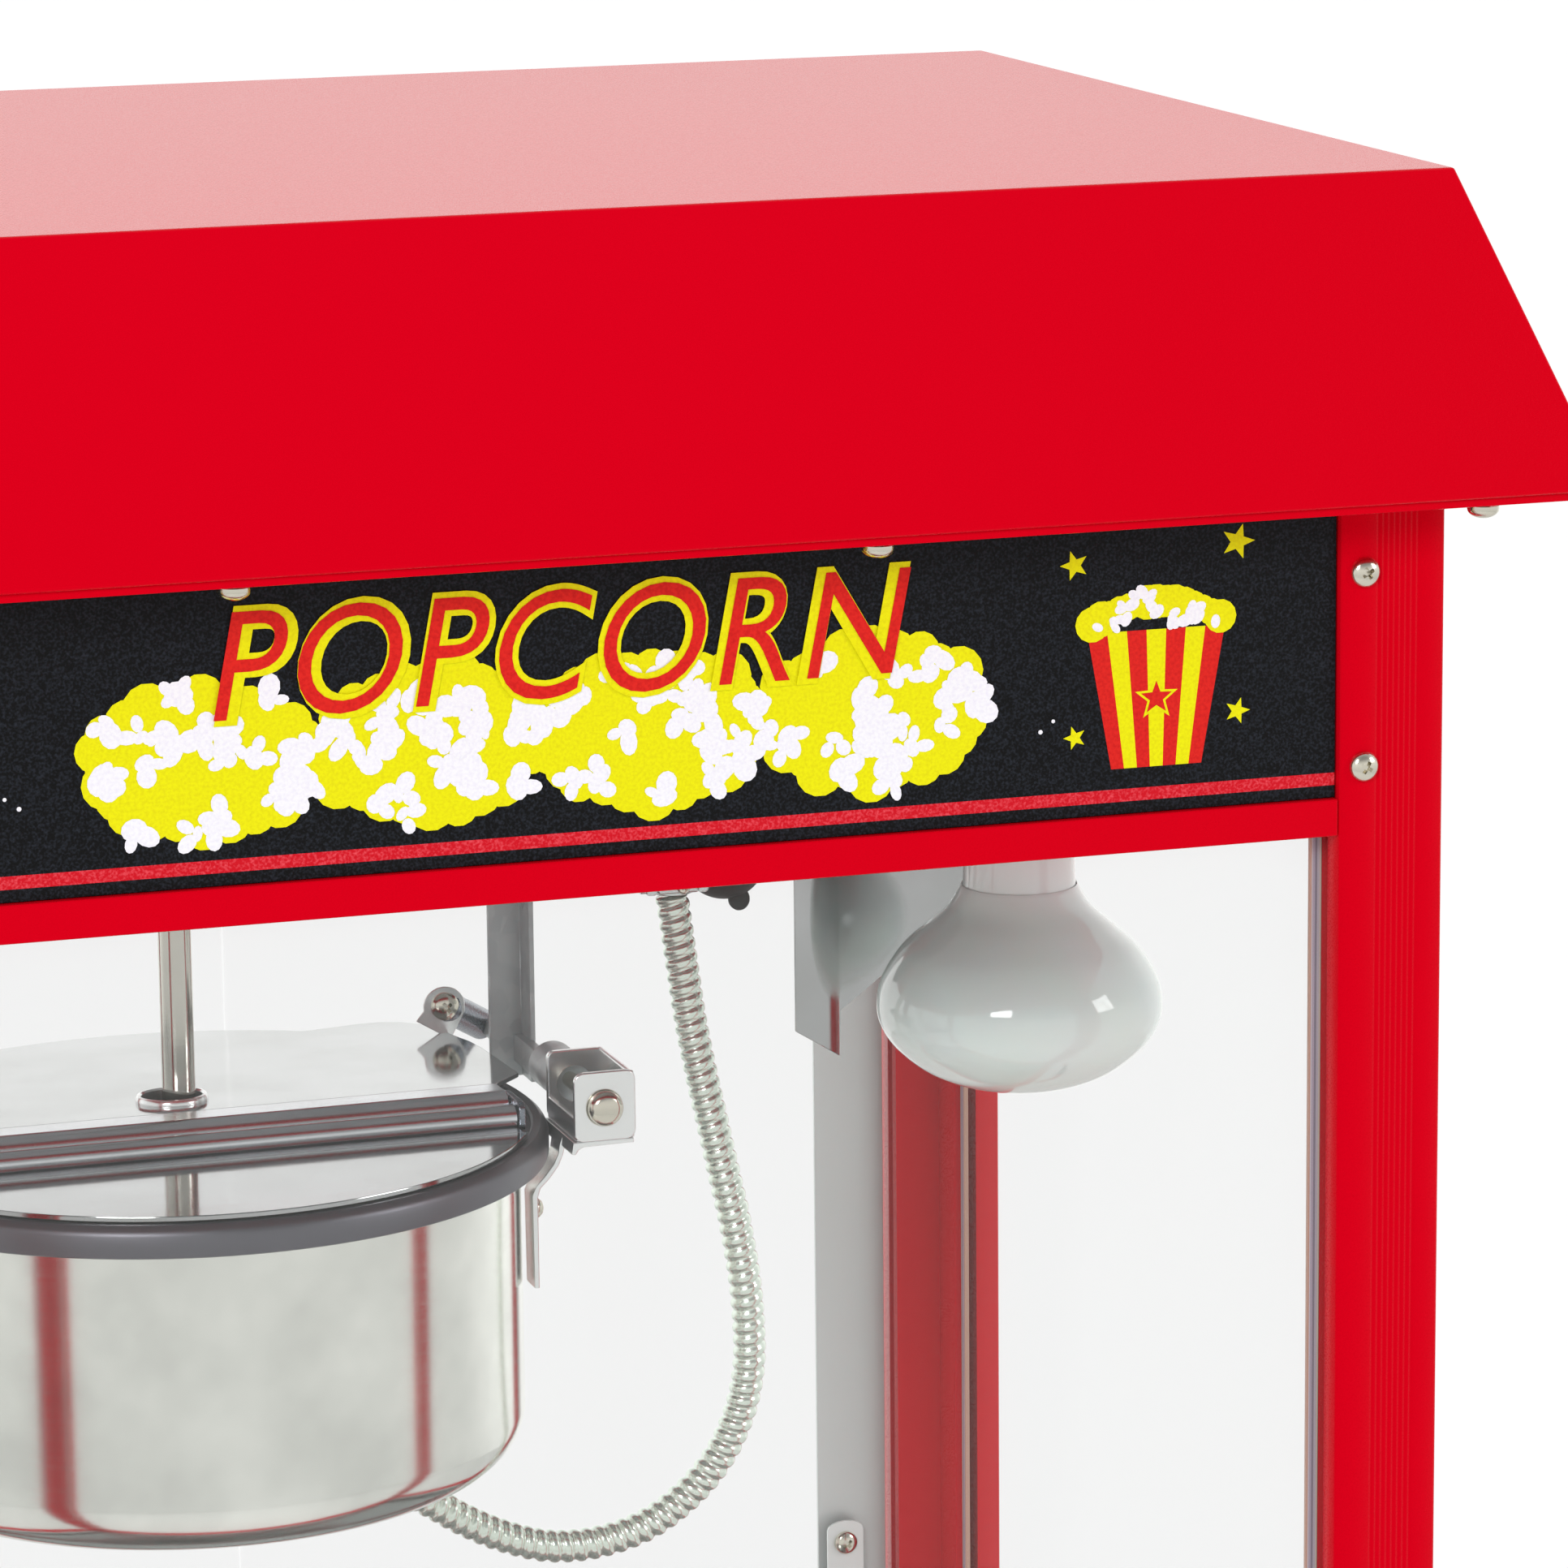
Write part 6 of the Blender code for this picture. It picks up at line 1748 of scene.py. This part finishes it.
def weld_beads():
    """Fillet welds where the frames' tubes meet, laid as overlapping drops and coated with the rest."""
    draw = random.Random(3)
    shape = bmesh.new()
    half = 0.0125
    for side in (-1, 1):
        for end, x, way in ((0, -0.200 + half, 1), (1, 0.2405 - half, -1)):
            for level, up in ((0.270, -1), (0.295, 1), (0.7527, -1)):
                for step in range(10):
                    across = side * 0.1835 - half + 0.0030 + 0.019 * step / 9
                    spot = (x + way * 0.0006, across, level + up * 0.0006)
                    size = Matrix.Diagonal((0.0022, 0.0017 * draw.uniform(0.9, 1.1), 0.0022, 1))
                    bmesh.ops.create_icosphere(shape, subdivisions=1, radius=1, matrix=Matrix.Translation(spot) @ size)
    mesh = bpy.data.meshes.new("frame_welds")
    shape.to_mesh(mesh)
    shape.free()
    mesh.shade_smooth()
    welds = bpy.data.objects.new("frame_welds", mesh)
    bpy.context.collection.objects.link(welds)
    put_on(welds, RED, "cabinet", slot="red_powder_coat")


def build_cart():
    """The folded and welded pieces, the grip and the feet."""
    for name, node, fold in (
        ("folded_cart_top", "cart_top", 0.0025),
        ("welded_frame_front", "cart_frame_front", 0.0016),
        ("welded_frame_rear", "cart_frame_rear", 0.0016),
        ("folded_shelf", "cart_shelf", 0.0005),
        ("bent_handle", "push_handle", 0.0003),
    ):
        put_on(soft_copy(name, node, fold), RED, "cabinet", node, slot="red_powder_coat")
    weld_beads()
    low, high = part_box("push_handle")
    radius = (high.z - low.z) / 2
    profile = [(radius + 0.0001, -0.100), (radius + 0.0024, -0.0992)]
    for rib in range(24):
        start = -0.096 + 0.008 * rib
        profile += [(radius + 0.0034, start), (radius + 0.0038, start + 0.0025), (radius + 0.0034, start + 0.005)]
        profile += [(radius + 0.0026, start + 0.0062)]
    profile += [(radius + 0.0024, 0.0992), (radius + 0.0001, 0.100)]
    sleeve = turn_on_lathe("foam_grip", [*profile, profile[0]], (high.x - radius, 0, (low.z + high.z) / 2), 40, "Y")
    put_on(sleeve, RUBBER, "cabinet", slot="rubber")
    for end in ("front", "rear"):
        low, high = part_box(f"foot_{end}")
        middle = ((low.x + high.x) / 2, (low.y + high.y) / 2, 0)
        profile = [(0, 0), (0.0158, 0), (0.0170, 0.0012), (0.0168, 0.0060), (0.0160, 0.0068), (0.0162, 0.0078)]
        profile += [(0.0150, 0.0220), (0.0141, 0.0292), (0.0132, high.z), (0, high.z)]
        foot = turn_on_lathe(f"moulded_foot_{end}", profile, middle, 56)
        put_on(foot, RUBBER, "cabinet", f"foot_{end}", slot="rubber")


build_cart()

# Wheels and axle.
# Spoked steel wheels with solid rubber tyres turn on a plated axle, kept by domed push-on caps.


def build_wheel(end):
    """One wheel: a rolled rim, a turned hub, twelve spokes with welded ends, and a tyre with three grooves."""
    low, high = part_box(f"wheel_{end}")
    at = Vector(((low.x + high.x) / 2, (low.y + high.y) / 2, (low.z + high.z) / 2))
    profile = [(0.1740, -0.0060), (0.1765, -0.0085), (0.1830, -0.0112), (0.1860, -0.0120), (0.1862, -0.0100)]
    profile += [(0.1862, 0.0100), (0.1860, 0.0120), (0.1830, 0.0112), (0.1765, 0.0085), (0.1740, 0.0060)]
    parts = [turn_on_lathe("rim", [*profile, profile[0]], at, 144, "Y")]
    profile = [(0.0082, -0.0190), (0.0150, -0.0190), (0.0175, -0.0170), (0.0180, -0.0130), (0.0250, -0.0105)]
    profile += [(0.0260, -0.0090), (0.0260, 0.0090), (0.0250, 0.0105), (0.0180, 0.0130), (0.0175, 0.0170)]
    profile += [(0.0150, 0.0190), (0.0082, 0.0190)]
    parts.append(turn_on_lathe("hub", [*profile, profile[0]], at, 64, "Y"))
    profile = [(0, 0.0245), (0.0058, 0.0245), (0.0044, 0.0275), (0.0038, 0.0330), (0.0038, 0.1680), (0.0044, 0.1725)]
    spoke = turn_on_lathe("spoke", [*profile, (0.0056, 0.1750), (0, 0.1750)], (0, 0, 0), 16)
    for number in range(12):
        place = Matrix.Translation(at) @ Matrix.Rotation(math.tau * number / 12, 4, "Y")
        parts.append(copy_at(spoke, "spoke", place))
    bpy.data.objects.remove(spoke)
    put_on(join_pieces(f"spoked_wheel_{end}", parts), RED, f"{end}_wheel", f"wheel_{end}", slot="red_powder_coat")
    profile = [(0.1864, -0.0120), (0.1880, -0.0136), (0.1920, -0.0145), (0.1952, -0.0134), (0.1975, -0.0110)]
    profile += [(0.1992, -0.0080)]
    for groove in (-0.0050, 0.0, 0.0050):
        profile += [(0.2000, groove - 0.0016), (0.1988, groove - 0.0008), (0.1988, groove + 0.0008)]
        profile += [(0.2000, groove + 0.0016)]
    profile += [(0.1992, 0.0080), (0.1975, 0.0110), (0.1952, 0.0134), (0.1920, 0.0145), (0.1880, 0.0136)]
    tyre = turn_on_lathe(f"solid_tyre_{end}", [*profile, (0.1864, 0.0120), profile[0]], at, 160, "Y")
    put_on(tyre, RUBBER, f"{end}_wheel", f"tyre_{end}", slot="rubber")


def fit_axle():
    """The axle with its caps."""
    low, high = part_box("axle")
    x, z, radius = (low.x + high.x) / 2, (low.z + high.z) / 2, (high.z - low.z) / 2
    profile = [(0, low.y), (radius - 0.0012, low.y), (radius, low.y + 0.0012)]
    profile += [(radius, high.y - 0.0012), (radius - 0.0012, high.y), (0, high.y)]
    axle = turn_on_lathe("plated_axle", profile, (x, 0, z), 48, "Y")
    put_on(axle, ZINC, "cabinet", "axle", slot="zinc_steel")
    profile = [(radius, 0), (0.0130, 0), (0.0136, 0.0006), (0.0126, 0.0036), (0.0090, 0.0056), (0, 0.0064)]
    for end, back in (("front", -1), ("rear", 1)):
        start = 0.235 + 0.0194
        way = Matrix.Translation((x, back * start, z)) @ Matrix.Diagonal((1, back, 1, 1))
        cap = turn_on_lathe("cap", [*profile, (0, 0.0050), (radius, 0.0050), profile[0]], (0, 0, 0), 48, "Y")
        placed = copy_at(cap, f"axle_cap_{end}", way)
        bpy.data.objects.remove(cap)
        put_on(placed, NICKEL, "cabinet", slot="chrome")


for wheel_end in ("front", "rear"):
    build_wheel(wheel_end)
fit_axle()
